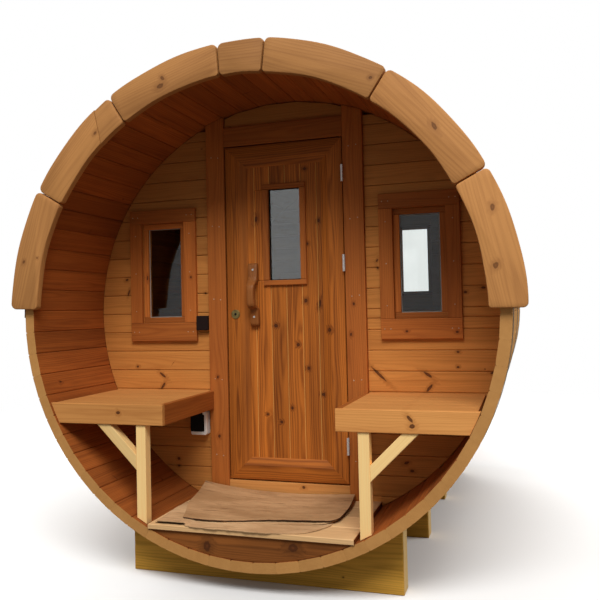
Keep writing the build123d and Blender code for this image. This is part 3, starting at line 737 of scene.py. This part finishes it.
def end_walls():
    """Both walls. The joints are heights; the right front wall has one more, as in the photo."""
    foot, low, full, top = -1004.0, -1003 + BOARD_PITCH * 0.62, -858.0, 1004.0
    joints = [foot, low] + [full + BOARD_PITCH * k for k in range(20)] + [top]
    for side, name in ((-1, "left"), (1, "right")):
        wall = Timber(f"front_wall_boards_{name}", 20 + side)
        extra = [full + BOARD_PITCH * 8.55] if side > 0 else []
        limits = sorted((side * INNER_R, side * JAMB_OUT))
        hole = opening(side * WINDOW_X, WINDOW_Z)
        # The left wall is toned darker than the right as painted shade.
        courses(wall, sorted(joints + extra), WALL_Y, WALL_BACK, *limits, hole, shift=0.18 * side - 0.11)
        wall.build(WALLS, f"front_wall_{name}", "wall_boards")
    over = Timber("front_wall_boards_over_door", 23)
    courses(over, [DOOR_TOP + HEAD_H, top], WALL_Y, WALL_BACK, -DOOR_HALF, DOOR_HALF)
    over.build(WALLS, "front_wall_over_door", "wall_boards")
    under = Timber("front_wall_boards_under_door", 24)
    courses(under, [foot, DECK_TOP], WALL_Y, WALL_BACK, -JAMB_OUT, JAMB_OUT)
    under.build(WALLS, "front_wall_under_door", "wall_boards")
    rear = Timber("rear_wall_boards", 25)
    hole = opening(REAR_X, REAR_Z)
    courses(rear, joints, REAR_INNER, REAR_FACE, -INNER_R, INNER_R, hole, arris=(3.0, 4.0))
    rear.build(REAR_WALLS, "rear_wall", "wall_boards")


def frame_boards(timber, box, side, top, foot, y0, y1, arris=2.5, tones=()):
    """Four boards round an opening: the head and foot run past the sides."""
    x0, x1, z0, z1 = box
    cuts = [timber.toned(tone) for tone in tones] or [timber.start() for _ in range(4)]
    spans = [(x0 - side, x0, z0, z1), (x1, x1 + side, z0, z1)]
    spans += [(x0 - side, x1 + side, z1 + 0.4, z1 + top), (x0 - side, x1 + side, z0 - foot, z0 - 0.4)]
    for span, run, cut in zip(spans, (UPRIGHT, UPRIGHT, ACROSS, ACROSS), cuts):
        timber.slab(rect(*span), y0, y1, arris, 1, run, cut)


def windows():
    casing, sash = Timber("front_window_casings", 31), Timber("front_window_sashes", 32)
    bead = Timber("front_window_beads", 33)
    back_casing, back_sash = Timber("rear_window_casing_boards", 34), Timber("rear_window_sash_frame", 35)
    wide, rails = (CASING_SIDE, CASING_TOP, CASING_FOOT), [SASH_W - 0.4] * 3
    # The third tone of each set, the head board's, is the lowest: painted shade under the window heads.
    for side, tones in ((-1, (0.45, 0.95, 0.05, 0.2)), (1, (0.6, 0.25, 0.1, 0.85))):
        box = opening(side * WINDOW_X, WINDOW_Z)
        face = WALL_Y + SASH_IN
        frame_boards(casing, box, *wide, WALL_Y - CASING_T, WALL_Y - 0.2, tones=tones)
        frame_boards(sash, inset(box, SASH_W), *rails, face, face + SASH_T, 3.0)
        frame_boards(bead, inset(box, SASH_W + 3), 3, 3, 3, face + 12.5, face + 15.9, 0.8)
    box = opening(REAR_X, REAR_Z)
    face = REAR_FACE - SASH_IN
    frame_boards(back_casing, box, *wide, REAR_FACE + 0.2, REAR_FACE + CASING_T)
    frame_boards(back_sash, inset(box, SASH_W), *rails, face - SASH_T, face, 3.0)
    casing.build(FRAMES, "front_window_casing", "frame_wood")
    sash.build(FRAMES, "front_window_sash", "frame_wood")
    bead.build(SEALANT, (), "white_plastic")
    back_casing.build(FRAMES, "rear_window_casing", "frame_wood")
    back_sash.build(FRAMES, "rear_window_sash", "frame_wood")


# arched fascia


def arch_board(timber, start, end, y0, y1, dice, arris=(7.0, 2.0), tone=0.6):
    """One sawn arched board. An end is an angle, or a tight slanted joint as outer and inner angle."""
    wave = [dice.uniform(0, 6.28) for _ in range(4)]
    ends, slants = [], []
    for value, way in ((start, 1), (end, -1)):
        if isinstance(value, tuple):
            p, q = polar(ARCH_OUT, value[0]), polar(ARCH_IN, value[1])
            slants.append((p, (q - p).normalized()))
            ends.append((*value, 0.0))
        else:
            trim = way * math.degrees(ARCH_GAP)
            ends.append((value + trim / ARCH_OUT, value + trim / ARCH_IN, dice.uniform(18, 25)))
    (out0, in0, c0), (out1, in1, c1) = ends

    def edge(radius, angle, k):
        t = math.radians(angle)
        sway = 1.6 * math.sin(9 * t + wave[k]) + 1.0 * math.sin(23 * t + wave[k + 1]) - 1.6
        return polar(radius + (sway if k < 2 else -sway), angle)

    count = max(6, int(abs(out1 - out0)))
    outer = [edge(ARCH_OUT, out0 + (out1 - out0) * i / count, 0) for i in range(count + 1)]
    inner = [edge(ARCH_IN, in1 + (in0 - in1) * i / count, 2) for i in range(count + 1)]
    outline = (soften(inner[-1], outer[0], outer[2], c0) if c0 else outer[:2]) + outer[2:-2]
    if c1:
        outline += soften(outer[-3], outer[-1], inner[0], c1)
        outline += soften(outer[-1], inner[0], inner[2], c1 * 0.7)
    else:
        outline += outer[-2:] + inner[:2]
    outline += inner[2:-2] + (soften(inner[-3], inner[-1], outer[0], c0 * 0.7) if c0 else inner[-2:])

    def tight(u, v):
        near = any(abs((Vector((u, v)) - p).cross(along)) < 3.5 for p, along in slants)
        return 0.15 if near else 1.0

    run = polar(1, (out0 + out1) / 2 + 90)
    timber.slab(outline, y0, y1, *arris, run, timber.toned(tone), tight=tight)


def fascia():
    dice = random.Random(8)
    angles = [-0.5, 27.5, 55.7, 83.2, 94.1, 122.1, (126.6, 130.4), 149.7, 178.4]
    names = ["right"] * 3 + ["key"] + ["left"] * 4
    tones = [1.0, 0.75, 0.25, 0.15, 0.4, 0.45, 0.65, 0.7]
    keys = ("right", "key", "left")
    groups = {key: Timber(f"front_fascia_boards_{key}", 40 + i) for i, key in enumerate(keys)}
    for key, a0, a1, tone in zip(names, angles, angles[1:], tones):
        arch_board(groups[key], a0, a1, -ARCH_T, -0.2, dice, tone=tone)
    for key, group in groups.items():
        group.build(FASCIA, f"front_fascia_{key}", "fascia_wood", sharp=30)
    back = Timber("rear_fascia_boards", 44)
    angles.pop(6)
    for a0, a1 in zip(angles, angles[1:]):
        arch_board(back, a0, a1, LENGTH + 0.2, LENGTH + ARCH_T, dice, (2.0, 7.0))
    back.build(FASCIA, "rear_fascia", "fascia_wood", sharp=30)


# doorway and door


def doorway():
    """Posts, head and threshold, each with its strip of door stop behind the leaf."""
    deep, stop = (JAMB_FACE, WALL_BACK, 3, 1), (STOP_FACE, WALL_BACK, 1, 1)
    half, inner = DOOR_HALF, DOOR_HALF - STOP_W
    jambs = Timber("door_jamb_posts", 50)
    for side in (-1, 1):
        x0, x1 = sorted((side * half, side * JAMB_OUT))
        top0, top1 = chord(x0), chord(x1)
        crown = ((x0 + x1) / 2, (top0 + top1) / 2 + 0.8)
        outline = [(x0, DECK_TOP), (x1, DECK_TOP), (x1, top1), crown, (x0, top0)]
        jambs.slab(outline, *deep, UPRIGHT, jambs.toned(0.5 + 0.1 * side))
        x0, x1 = sorted((side * inner, side * (half - 0.2)))
        jambs.slab(rect(x0, x1, DOOR_BOTTOM, DOOR_TOP), *stop, UPRIGHT)
    jambs.build(FRAMES, "door_jambs", "frame_wood")
    head = Timber("door_head_board", 51)
    head.slab(rect(-half, half, DOOR_TOP, DOOR_TOP + HEAD_H), *deep, cut=head.toned(0))
    head.slab(rect(-inner, inner, DOOR_TOP - STOP_W, DOOR_TOP - 0.2), *stop)
    head.build(FRAMES, "door_head", "frame_wood")
    sill = Timber("door_threshold_board", 52)
    sill.slab(rect(-half, half, DECK_TOP, DOOR_BOTTOM), *deep, cut=sill.toned(0.5))
    sill.slab(rect(-inner, inner, DOOR_BOTTOM + 0.2, DOOR_BOTTOM + STOP_W), *stop)
    sill.build(BENCH, "door_threshold", "bench_wood")


def leaf_frame():
    """Stiles and rails of the leaf: flat face, small step, then a wide slope down to the panel."""
    leaf = Timber("door_leaf_frame", 60)
    steps = [(0.0, LEAF_BACK), (0.0, LEAF_FACE + 2.5), (0.02, LEAF_FACE + 0.6), (0.04, LEAF_FACE)]
    steps += [(0.655, LEAF_FACE), (0.667, LEAF_FACE + 0.8), (0.675, LEAF_FACE + 2.0)]
    steps += [(0.985, PANEL_FACE - 2.4), (1.0, PANEL_FACE - 1.2), (1.0, LEAF_BACK)]
    outer = rect(-LEAF_HALF, LEAF_HALF, LEAF_BOTTOM, LEAF_TOP)
    inner = rect(-FIELD_HALF, FIELD_HALF, FIELD_LOW, FIELD_HIGH)
    for p, q, x, z, tone in ((0, 3, 0, 1, 0.15), (2, 1, 0, -1, 0.6), (1, 0, -1, 0, 0.3), (3, 2, 1, 0, 0.1)):
        rings = []
        for k in (p, q):
            (ox, oz), (ix, iz) = outer[k], inner[k]
            rings.append([(ox + (ix - ox) * share, y, oz + (iz - oz) * share) for share, y in steps])
        leaf.loops(rings, (x, 0, z), (z, 0, x), leaf.toned(tone))
    leaf.build(DOOR, "door_frame", "door_wood", "door")


def door():
    leaf_frame()
    panel = Timber("door_panel_boards", 61)
    joints = [-FIELD_HALF - TUCK, -153, -74, 5, 84, 163, FIELD_HALF + TUCK]
    lx0, lx1, lz0, lz1 = LIGHT
    z0, z1 = FIELD_LOW - TUCK, FIELD_HIGH + TUCK
    for x0, x1, tone in zip(joints, joints[1:], (0.75, 1.0, 0.35, 0.7, 0.45, 0.0)):
        x0, x1 = x0 + 1.0, x1 - 1.0
        cut = panel.toned(tone)
        parts = [(x0, x1, z0, z1)]
        if x1 > lx0 and x0 < lx1:
            parts = [(x0, x1, z0, lz0), (x0, x1, lz1, z1)]
            parts += [(x0, lx0, lz0, lz1)] if x0 < lx0 else []
            parts += [(lx1, x1, lz0, lz1)] if x1 > lx1 else []
        for part in parts:
            panel.slab(rect(*part), PANEL_FACE, PANEL_BACK, 4.0, 1.0, UPRIGHT, cut)
        if x0 > -FIELD_HALF:
            for t0, t1 in [(z0, lz0), (lz1, z1)] if lx0 < x0 < lx1 else [(z0, z1)]:
                tongue = rect(x0 - 3.4, x0 + 1.4, t0, t1)
                panel.slab(tongue, PANEL_FACE + 3.2, PANEL_BACK - 4, 0.3, 0.3, UPRIGHT, skin=1)
    panel.build([DOOR, RAW_EDGE], "door_panel", "door_wood", "door")
    moulding = Timber("door_light_moulding_strips", 62)
    frame_boards(moulding, LIGHT, 30, 25, 25, PANEL_FACE - 13, PANEL_FACE - 0.2, 4.0)
    moulding.build(FRAMES, "door_light_moulding", "door_wood", "door")
    gasket = Timber("door_light_gasket", 63)
    frame_boards(gasket, inset(LIGHT, 4), 4, 4, 4, PANEL_FACE + 3, PANEL_FACE + 8.8, 1.0)
    gasket.build(BLACK, (), "dark_plastic", "door")


def pull():
    """Wooden door pull: two feet screwed to the panel and a grip that stands off between them.

    A section is its height, its middle, how far its back and front stand off the panel, and half its width.
    """
    piece = Timber("door_pull", 70)
    sections = [
        (233, -160, 0, 14, 20), (230, -160, 0, 22, 24), (222, -160, 0, 26, 25), (170, -160, 0, 27, 25),
        (150, -160, 0, 34, 24), (136, -160, 6, 50, 22), (128, -159, 24, 62, 20), (118, -158, 36, 68, 19),
        (100, -158, 40, 70, 18), (66, -158, 40, 70, 18.5), (42, -158, 37, 69, 19.5), (28, -157, 30, 67, 20),
        (20, -157, 8, 60, 20), (16, -156, 0, 46, 20), (11, -155, 0, 30, 21), (0, -155, 0, 26, 22),
        (-55, -154, 0, 26, 23), (-68, -154, 0, 22, 22), (-72, -154, 0, 13, 18),
    ]
    rings = []
    for z, cx, back, front, half in sections:
        ring = []
        for k in range(28):
            t = 2 * math.pi * (k + 0.5) / 28
            c, s = (math.copysign(abs(part) ** 0.5, part) for part in (math.cos(t), math.sin(t)))
            y = PANEL_FACE - (back + front) / 2 - (front - back) / 2 * s
            ring.append((cx + half * c, min(y, PANEL_FACE - 0.2), z))
        rings.append(ring)
    piece.loops(rings, (0, 0, 1), (1, 0, 0), (3.0, 0.03, 0.05, 0.4))
    piece.build(PULL, "door_handle", "handle_wood", "door", 50)


def screws(group, name, places, radius, height, material, slot, body="building", way=1):
    """Screw heads on a face that looks towards the porch, or with way -1 to the rear."""
    base = bpy.data.meshes.new(name + "_places")
    base.from_pydata([spot(*place) for place in places], [], [])
    turn = Vector((way * math.pi / 2, 0.0, 0.0))
    mesh = grown(name, group, base, Radius=radius / 1000, Height=height / 1000, Turn=turn, Finish=material)
    settle(name, mesh, (), (), slot, body, 40)


def fixings():
    group = fixing_tree()
    feet = [(-156, 534.5, 200), (-154, 535.5, -27)]
    screws(group, "pull_screws", feet, 6.0, 3.0, ZINC, "hinge_steel", "door")
    nails = []
    middle = CASING_SIDE / 2
    for side in (-1, 1):
        x0, x1, z0, z1 = opening(side * WINDOW_X, WINDOW_Z)
        for x in (x0 - middle, x1 + middle):
            nails += [(x + dx, z) for z in (z1 + 34, z0 - 46) for dx in (-14, 14)]
            nails += [(x, z0 + 60), (x, z1 - 60), (x, (z0 + z1) / 2)]
        for z in (-700, -330, 60, 420, 760):
            nails += [(side * 330, z), (side * 366, z + 4)]
    nails = [(x, JAMB_FACE - 0.1, z) for x, z in nails]
    screws(group, "casing_nails", nails, 2.6, 0.8, NAIL, "hinge_steel")
    x0, x1, z0, z1 = opening(REAR_X, REAR_Z)
    heights = (z0 - 46, z0 + 60, z1 - 60, z1 + 34)
    rear = [(x, REAR_FACE + CASING_T + 0.1, z) for x in (x0 - middle, x1 + middle) for z in heights]
    screws(group, "rear_casing_nails", rear, 2.6, 0.8, NAIL, "hinge_steel", way=-1)
    screws(group, "latch_keyhole", [(-253, 541.8, -12)], 6.5, 0.8, BLACK, "dark_plastic", "door")


# benches, deck and cradles


def benches():
    seats, fronts = Timber("bench_seat_boards", 80), Timber("bench_front_boards", 81)
    legs, braces = Timber("bench_leg_posts", 86), Timber("bench_brace_bars", 83)
    low, top, edge, middle = BENCH_LOW, BENCH_TOP, BENCH_EDGE, (BENCH_TOP + BENCH_LOW) / 2
    behind, under = APRON_Y + BENCH_T, BENCH_LOW - 0.2
    depth = (WALL_Y - behind) / 6
    for side in (-1, 1):

        def flip(points):
            return [(side * u, v) for u, v in points]

        front = [(edge, low), (chord(low), low), (chord(middle), middle), (chord(top), top), (edge, top)]
        # The right apron is toned lighter than the left as painted light.
        fronts.slab(flip(front), APRON_Y, behind, 2.5, 1, cut=fronts.toned(0.65 + 0.25 * side))
        x0, x1 = sorted((side * edge, side * (edge + BENCH_T)))
        board = rect(behind + 0.3, JAMB_FACE, low, top)
        # The inner side boards take a low tone and the frame finish as painted shade.
        fronts.slab(board, x0, x1, 2.0, 2.0, cut=fronts.toned(0.1), skin=1, face="side")
        near, far = edge + BENCH_T + 0.4, chord(top - BENCH_T) - 2
        for k in range(6):
            y = behind + 0.3 + k * depth
            cut = seats.toned(0.4 + 0.15 * side + seats.dice.uniform(-0.1, 0.1))
            seat = flip(rect(near, far, y, y + depth - 1.2))
            seats.slab(seat, top - BENCH_T, top, 1, 1.8, cut=cut, face="top")
        x0, x1 = POST_IN, POST_IN + POST_W
        post = flip([(x0, 0.6 - chord(x0)), (x1, 0.6 - chord(x1)), (x1, under), (x0, under)])
        depths = POST_Y, POST_Y + POST_W, 2.5, 2.5
        legs.slab(post, *depths, UPRIGHT, legs.toned(0.9))
        x, z, slant = x1 + 0.3, low - BRACE_REACH, POST_W * math.sqrt(2)
        bar = flip([(x, z), (x + BRACE_REACH, under), (x + BRACE_REACH - slant, under), (x, z + slant)])
        # The right brace is toned lighter than the left as painted light.
        braces.slab(bar, *depths, (side, 1), braces.toned(0.45 + 0.45 * side))
    seats.build(BENCH, "bench_seats", "bench_wood")
    fronts.build([BENCH, FRAMES], "bench_aprons", "bench_wood")
    legs.build(PINE, "bench_legs", "raw_pine")
    braces.build(PINE, "bench_braces", "raw_pine")


def floors():
    """Porch deck with thin dark strips on its ends as painted shade, the curved skirt below it, and the floor
    of the room.
    """
    levels = DECK_TOP - DECK_T, DECK_TOP
    deck = Timber("deck_boards", 90)
    y, board, gap = -8.0, 145, 4
    while y < WALL_Y - 10:
        end = min(y + board, WALL_Y - 0.5)
        deck.slab(rect(-DECK_HALF, DECK_HALF, y, end), *levels, 1.5, 2.5, face="top")
        y = end + gap
    # Thin strips in the skirt's finish over the deck's end faces: painted shade.
    strip = rect(-7, WALL_Y - 2, DECK_TOP - 20.5, DECK_TOP - 0.6)
    for x0 in (-DECK_HALF - 1.4, DECK_HALF + 0.2):
        deck.slab(strip, x0, x0 + 1.2, 0.3, 0.3, skin=1, face="side")
    deck.build([DECKING, SKIRT], "porch_deck", "deck_pine")
    skirt = Timber("skirt_boards", 91)
    half, top = DECK_HALF - 3, DECK_TOP - 21.3
    outline = [(-half, top), (half, top)] + [(x, -chord(x)) for x in np.linspace(half, -half, 31)]
    skirt.slab(outline, SKIRT_Y, SKIRT_Y + SKIRT_T, 2, 1)
    skirt.build(SKIRT, "porch_skirt", "skirt_wood")
    inside = Timber("room_floor_boards", 92)
    width = DECK_HALF / 4
    for k in range(8):
        x = k * width - DECK_HALF
        plank = rect(x + 0.8, x + width - 0.8, WALL_BACK + 0.3, REAR_INNER - 0.3)
        inside.slab(plank, *levels, 1, 2, UPRIGHT, face="top")
    inside.build(DECKING, "inner_floor", "deck_pine")


def cradles():
    """Four beams sawn out to the barrel, with pale raw ends."""
    beams = Timber("cradle_timbers", 95)
    r = BARREL_R + 0.5
    reach = math.sqrt(r**2 - BEAM_TOP**2)
    beam = [(-BEAM_HALF, BEAM_TOP), (-BEAM_HALF, -AXIS_H), (BEAM_HALF, -AXIS_H), (BEAM_HALF, BEAM_TOP)]
    beam += [(x, -math.sqrt(r**2 - x**2)) for x in np.linspace(reach, -reach, 41)]
    for k in range(4):
        y = BEAM_INSET + k * (LENGTH - 2 * BEAM_INSET - BEAM_W) / 3
        beams.slab(beam, y, y + BEAM_W, 4, 4)
        for x0 in (-BEAM_HALF - 1.2, BEAM_HALF + 0.2):
            plate = rect(x0, x0 + 1, 4 - AXIS_H, BEAM_TOP - 4)
            beams.slab(plate, y + 4, y + BEAM_W - 4, 0.4, 0.4, skin=1)
    beams.build([TREATED, PINE], "cradle_beams", "treated_pine")


# folded mat


def follow(line, t):
    """Point at share t of a smooth line through the given places."""
    t = min(max(t, 0.0), 1.0) * (len(line) - 1)
    i = min(int(t), len(line) - 2)
    f = t - i
    a, b, c, d = (line[min(max(i + k, 0), len(line) - 1)] for k in (-1, 0, 1, 2))
    bend = (2 * a - 5 * b + 4 * c - d) * (f * f / 2)
    twist = (3 * (b - c) + d - a) * (f**3 / 2)
    return b + (c - a) * (f / 2) + bend + twist


def fibre_sheet(name, front, back, left, right, base, thick, seed, material, rests_on, stands_for=()):
    """Stiff worn sheet between four edge lines of places x, y and height above the deck.

    left and right leave out their first and last places, which front and back share.
    """
    dice = random.Random(seed)
    nu, nv = 96, 56
    waves = [(dice.uniform(3, 9), dice.uniform(8, 20), dice.uniform(0, 6.3)) for _ in range(6)]
    left, right = [front[0], *left, back[0]], [front[-1], *right, back[-1]]
    front, back, left, right = ([Vector(p) for p in line] for line in (front, back, left, right))
    places = []
    for v, u in ((j / nv, i / nu) for j in range(nv + 1) for i in range(nu + 1)):
        p = follow(front, u) * (1 - v) + follow(back, u) * v
        p += follow(left, v) * (1 - u)
        p += follow(right, v) * u
        p -= front[0] * (1 - u) * (1 - v) + front[-1] * u * (1 - v)
        p -= back[0] * (1 - u) * v + back[-1] * u * v
        inner = min(1.0, 9 * min(u, 1 - u), 7 * min(v, 1 - v))
        fray = 1.3 * (math.sin(67 * u + seed) + math.sin(151 * u)) * max(0.0, 1 - 18 * v)
        swell = sum(math.sin(w * u + k * v + c) for w, k, c in waves) / 6
        crease = math.exp(-(((v - 0.33 - 0.04 * math.sin(7 * u)) / 0.035) ** 2))
        crease *= 0.5 + 0.5 * math.sin(11 * u + seed)
        rise = p.z + inner * thick * (0.45 * swell + 0.5 * crease)
        places.append((p.x, p.y + fray, DECK_TOP + max(rise, base)))
    size, row = len(places), nu + 1
    points = [spot(x, y, z + level) for level in (thick, 0.0) for x, y, z in places]
    faces = []
    for a in (j * row + i for j in range(nv) for i in range(nu)):
        faces.append([a, a + 1, a + row + 1, a + row])
        faces.append([size + a + row, size + a + row + 1, size + a + 1, size + a])
    rim = list(range(row)) + [j * row + nu for j in range(1, nv + 1)]
    rim += [nv * row + i for i in range(nu - 1, -1, -1)] + [j * row for j in range(nv - 1, 0, -1)]
    faces += [[a, size + a, size + b, b] for a, b in zip(rim, rim[1:] + rim[:1])]
    mesh = bpy.data.meshes.new(name)
    mesh.from_pydata(points, [], faces)
    # Only the thick top sheet's rim takes the dark finish, as painted shadow under its edge.
    edge = 1 if thick > 3 else 0
    skins = [0, 1] * (nu * nv) + [edge] * len(rim)
    mesh.polygons.foreach_set("material_index", skins)
    outward(mesh)
    made = settle(name, mesh, [material, MAT_SHADE], stands_for, "mat_fibre", sharp=40)


def mat():
    """Three worn sheets laid one on the other; the upper one curls up along its back edge."""
    front = [(-415, 5, 7), (-394, 2, 11), (-341, 1, 12), (-280, 3, 11), (-269, -7, 3), (-235, -13, 1)]
    front += [(-159, -17, 0.4), (-99, -15, 0.4), (-37, -16, 0.4), (33, -18, 0.4), (82, -16, 0.4)]
    front += [(161, -6, 0.6), (222, 10, 2), (269, 48, 3)]
    back = [(-428, 342, 0.4), (-200, 352, 0.3), (60, 350, 0.3), (310, 330, 0.3)]
    left, right = [(-421, 80, 2), (-425, 158, 4), (-434, 250, 2)], [(306, 118, 2), (314, 180, 0.5)]
    fibre_sheet("mat_under_sheet", front, back, left, right, 0.1, 2.6, 4, UNDER_FIBRE, "deck_boards")
    front = [(-150, 88, 3.4), (-119, 74, 3.4), (-27, 88, 3.4), (57, 98, 3.6), (140, 107, 4), (221, 121, 5)]
    front += [(291, 146, 7), (324, 198, 8)]
    back = [(-150, 330, 3.2), (60, 330, 3.2), (300, 330, 3.2)]
    left, right = [(-152, 200, 3.2)], [(322, 260, 5)]
    fibre_sheet("mat_middle_sheet", front, back, left, right, 3.1, 1.8, 6, UNDER_FIBRE, "mat_under_sheet")
    front = [(-319, 73, 12), (-287, 67, 11), (-235, 65, 10), (-164, 68, 9), (-79, 83, 9), (-15, 101, 10)]
    front += [(48, 118, 11), (114, 130, 12), (198, 140, 13), (266, 148, 14), (315, 158, 16), (337, 200, 17)]
    back = [(-422, 528, 55), (-358, 528, 44), (-295, 528, 36), (-222, 528, 28), (-140, 529, 22)]
    back += [(21, 530, 17), (158, 530, 21), (324, 530, 30)]
    left = [(-340, 142, 15), (-377, 235, 16), (-390, 278, 20), (-400, 400, 36)]
    lines = front, back, left, [(341, 296, 20), (339, 390, 24)]
    fibre_sheet("mat_top_sheet", *lines, 6.0, 3.4, 9, FIBRE, "mat_middle_sheet", "porch_mat")


# roof covering


def roof():
    """Bitumen shingles on a base sheet over the upper half of the barrel, with caps along the crown."""
    group = shingle_tree()
    for side, seed in (("right", 3), ("left", 4)):
        mesh = grown(
            f"roof_shingles_{side}", group, Radius=ROOF_OUT + 0.003, Length=LENGTH / 1000 - 0.006, Tabs=8,
            Courses=12, Exposure=0.1365, Overlap=0.025, Thickness=0.0032, Gap=0.006, Turn=0.006, Seed=seed,
            Finish=BITUMEN,
        )
        bm = bmesh.new()
        bm.from_mesh(mesh)
        corners = rect(ROOF_IN, ROOF_OUT, -0.0027, LENGTH / 1000 - 0.0033)
        arc = [polar(1, k * 1.5) for k in range(61)]
        verts = [bm.verts.new((p.x * r, y, p.y * r)) for p in arc for r, y in corners]
        for face in skinned(0, len(arc), 4):
            bm.faces.new([verts[i] for i in face])
        bm.to_mesh(mesh)
        bm.free()
        outward(mesh)
        if side == "left":
            mesh.transform(Matrix.Diagonal((-1.0, 1.0, 1.0, 1.0)))
            mesh.flip_normals()
        mesh.transform(Matrix.Translation(spot(0, 3, 0)))
        settle(f"roof_shingles_{side}", mesh, (), f"roof_covering_{side}", "bitumen_covering")
    caps = Timber("roof_crown_caps", 96)
    count, half_angle = 9, 6.4
    low = 1000 * ROOF_OUT + 4.4
    pitch = (LENGTH - 10) / count
    angles = [90 + half_angle * (i / 6 - 1) for i in range(13)]
    for k in range(count):
        y = 4 + k * pitch
        rings = []
        for y, lift in ((y, 3.4), (y + min(pitch + 30, LENGTH - 4 - y), 0.0)):
            arc = [polar(low + lift + 3.2, angle) for angle in angles]
            arc += [polar(low + lift, angle) for angle in angles[::-1]]
            rings.append([(p.x, y, p.y) for p in arc])
        caps.loops(rings, (0, 1, 0), (1, 0, 0))
    caps.build(BITUMEN, (), "bitumen_covering", sharp=40)


def outlet():
    """Black socket inside the white housing."""
    piece = Timber("outlet_socket", 97)
    corners = [Vector(p) for p in rect(-492.4, -428, -583, -489)]
    radius, face, back = 4, 514, 556
    outline = []
    for i, here in enumerate(corners):
        outline += soften(corners[i - 1], here, corners[(i + 1) % 4], radius)
    piece.slab(outline, face, back, 2.5, 0.5)
    piece.build(BLACK, (), "dark_plastic")


staves()
end_walls()
windows()
fascia()
doorway()
door()
pull()
fixings()
benches()
floors()
mat()
cradles()
roof()
outlet()

for name, material in (
    ("front_window_glass", GLASS),
    ("rear_window_glass", GLASS),
    ("door_glass", DOOR_GLASS),
    ("steel_hoops", HOOP),
    ("door_hinge_leaves", ZINC),
    ("jamb_hinge_leaves", ZINC),
    ("door_latch_plate", BRASS),
    ("wall_switch_box", DARK),
    ("wall_outlet_box", WHITE),
):
    nodes[name].data.materials.clear()
    nodes[name].data.materials.append(material)


# stage, lamps and camera

WORLD = 0.32


def stage():
    """Floor that is pale to the camera and darker to bounced light, and a world white to the camera."""
    n = Finish("pale_floor")
    seen = n.shade("LightPath", pick="Is Camera Ray")
    pale = n.blend(n.noise(n.here(), (1.2, 1.2, 1.2), 3.0), (246, 246, 245), (250, 250, 249))
    n.look(Base_Color=n.blend(seen, (112, 108, 102), pale), Roughness=0.9, Specular_IOR_Level=0.05)
    far = n.ease(n.vector("LENGTH", n.here()), 2.4, 6.0)
    glow = n.shade("Emission", {"Color": (1, 1, 1, 1), "Strength": 1.0})
    n.feed(n.out.inputs[0], n.shade("MixShader", {0: far * seen, 1: n.shader.outputs[0], 2: glow}))
    mesh = bpy.data.meshes.new("studio_floor")
    mesh.from_pydata([(x, y, 0) for x, y in rect(-60, 60, -60, 60)], [], [(0, 1, 2, 3)])
    mesh.materials.append(n.material)
    floor = placed("studio_floor", mesh)

    world = bpy.data.worlds.new("studio")
    scene.world = world
    world.use_nodes = True
    world.node_tree.nodes.clear()
    n = Nodes(world.node_tree)
    paths = n.add("ShaderNodeLightPath").outputs
    shown = n.math("MAXIMUM", paths["Is Camera Ray"], paths["Is Transmission Ray"])
    light = n.shade("Background", {"Color": (1, 1, 1, 1), "Strength": shown * (1.0 - WORLD) + WORLD})
    n.add("ShaderNodeOutputWorld", {"Surface": light})


def lamp(name, place, aim, size, power):
    data = bpy.data.lights.new(name, "AREA")
    data.shape = "RECTANGLE"
    data.size, data.size_y = size
    data.energy = power
    made = placed(name, data)
    made.location = place
    made.rotation_euler = (Vector(aim) - Vector(place)).to_track_quat("-Z", "Y").to_euler()
    made.visible_camera = False


def camera():
    data = bpy.data.cameras.new("porch_view")
    data.sensor_width, data.lens = 36.0, 43.377
    data.shift_x, data.shift_y = 0.01498, -0.01685
    yaw, pitch, roll = 0.3149230, 0.0279477, -0.0223185
    turn = Matrix.Translation((1.0989, -4.0509, 1.1420))
    for angle, axis in ((yaw, "Z"), (math.pi / 2 + pitch, "X"), (roll, "Z")):
        turn = turn @ Matrix.Rotation(angle, 4, axis)
    scene.camera = placed("porch_view", data)
    scene.camera.matrix_world = turn


stage()
lamp("sky_front", (1.8, -7.0, 8.4), (0.0, -1.2, 1.2), (6.0, 4.0), 860.0)
lamp("sky_left", (-6.5, 1.0, 5.5), (0.0, 0.3, 1.0), (4.0, 4.0), 230.0)
lamp("sky_right", (6.5, 1.5, 5.5), (0.0, 0.3, 1.0), (4.0, 4.0), 230.0)
lamp("sky_rear", (-1.5, 8.0, 5.0), (0.0, 1.2, 1.2), (5.0, 4.0), 420.0)
camera()
scene.view_settings.view_transform = "Standard"
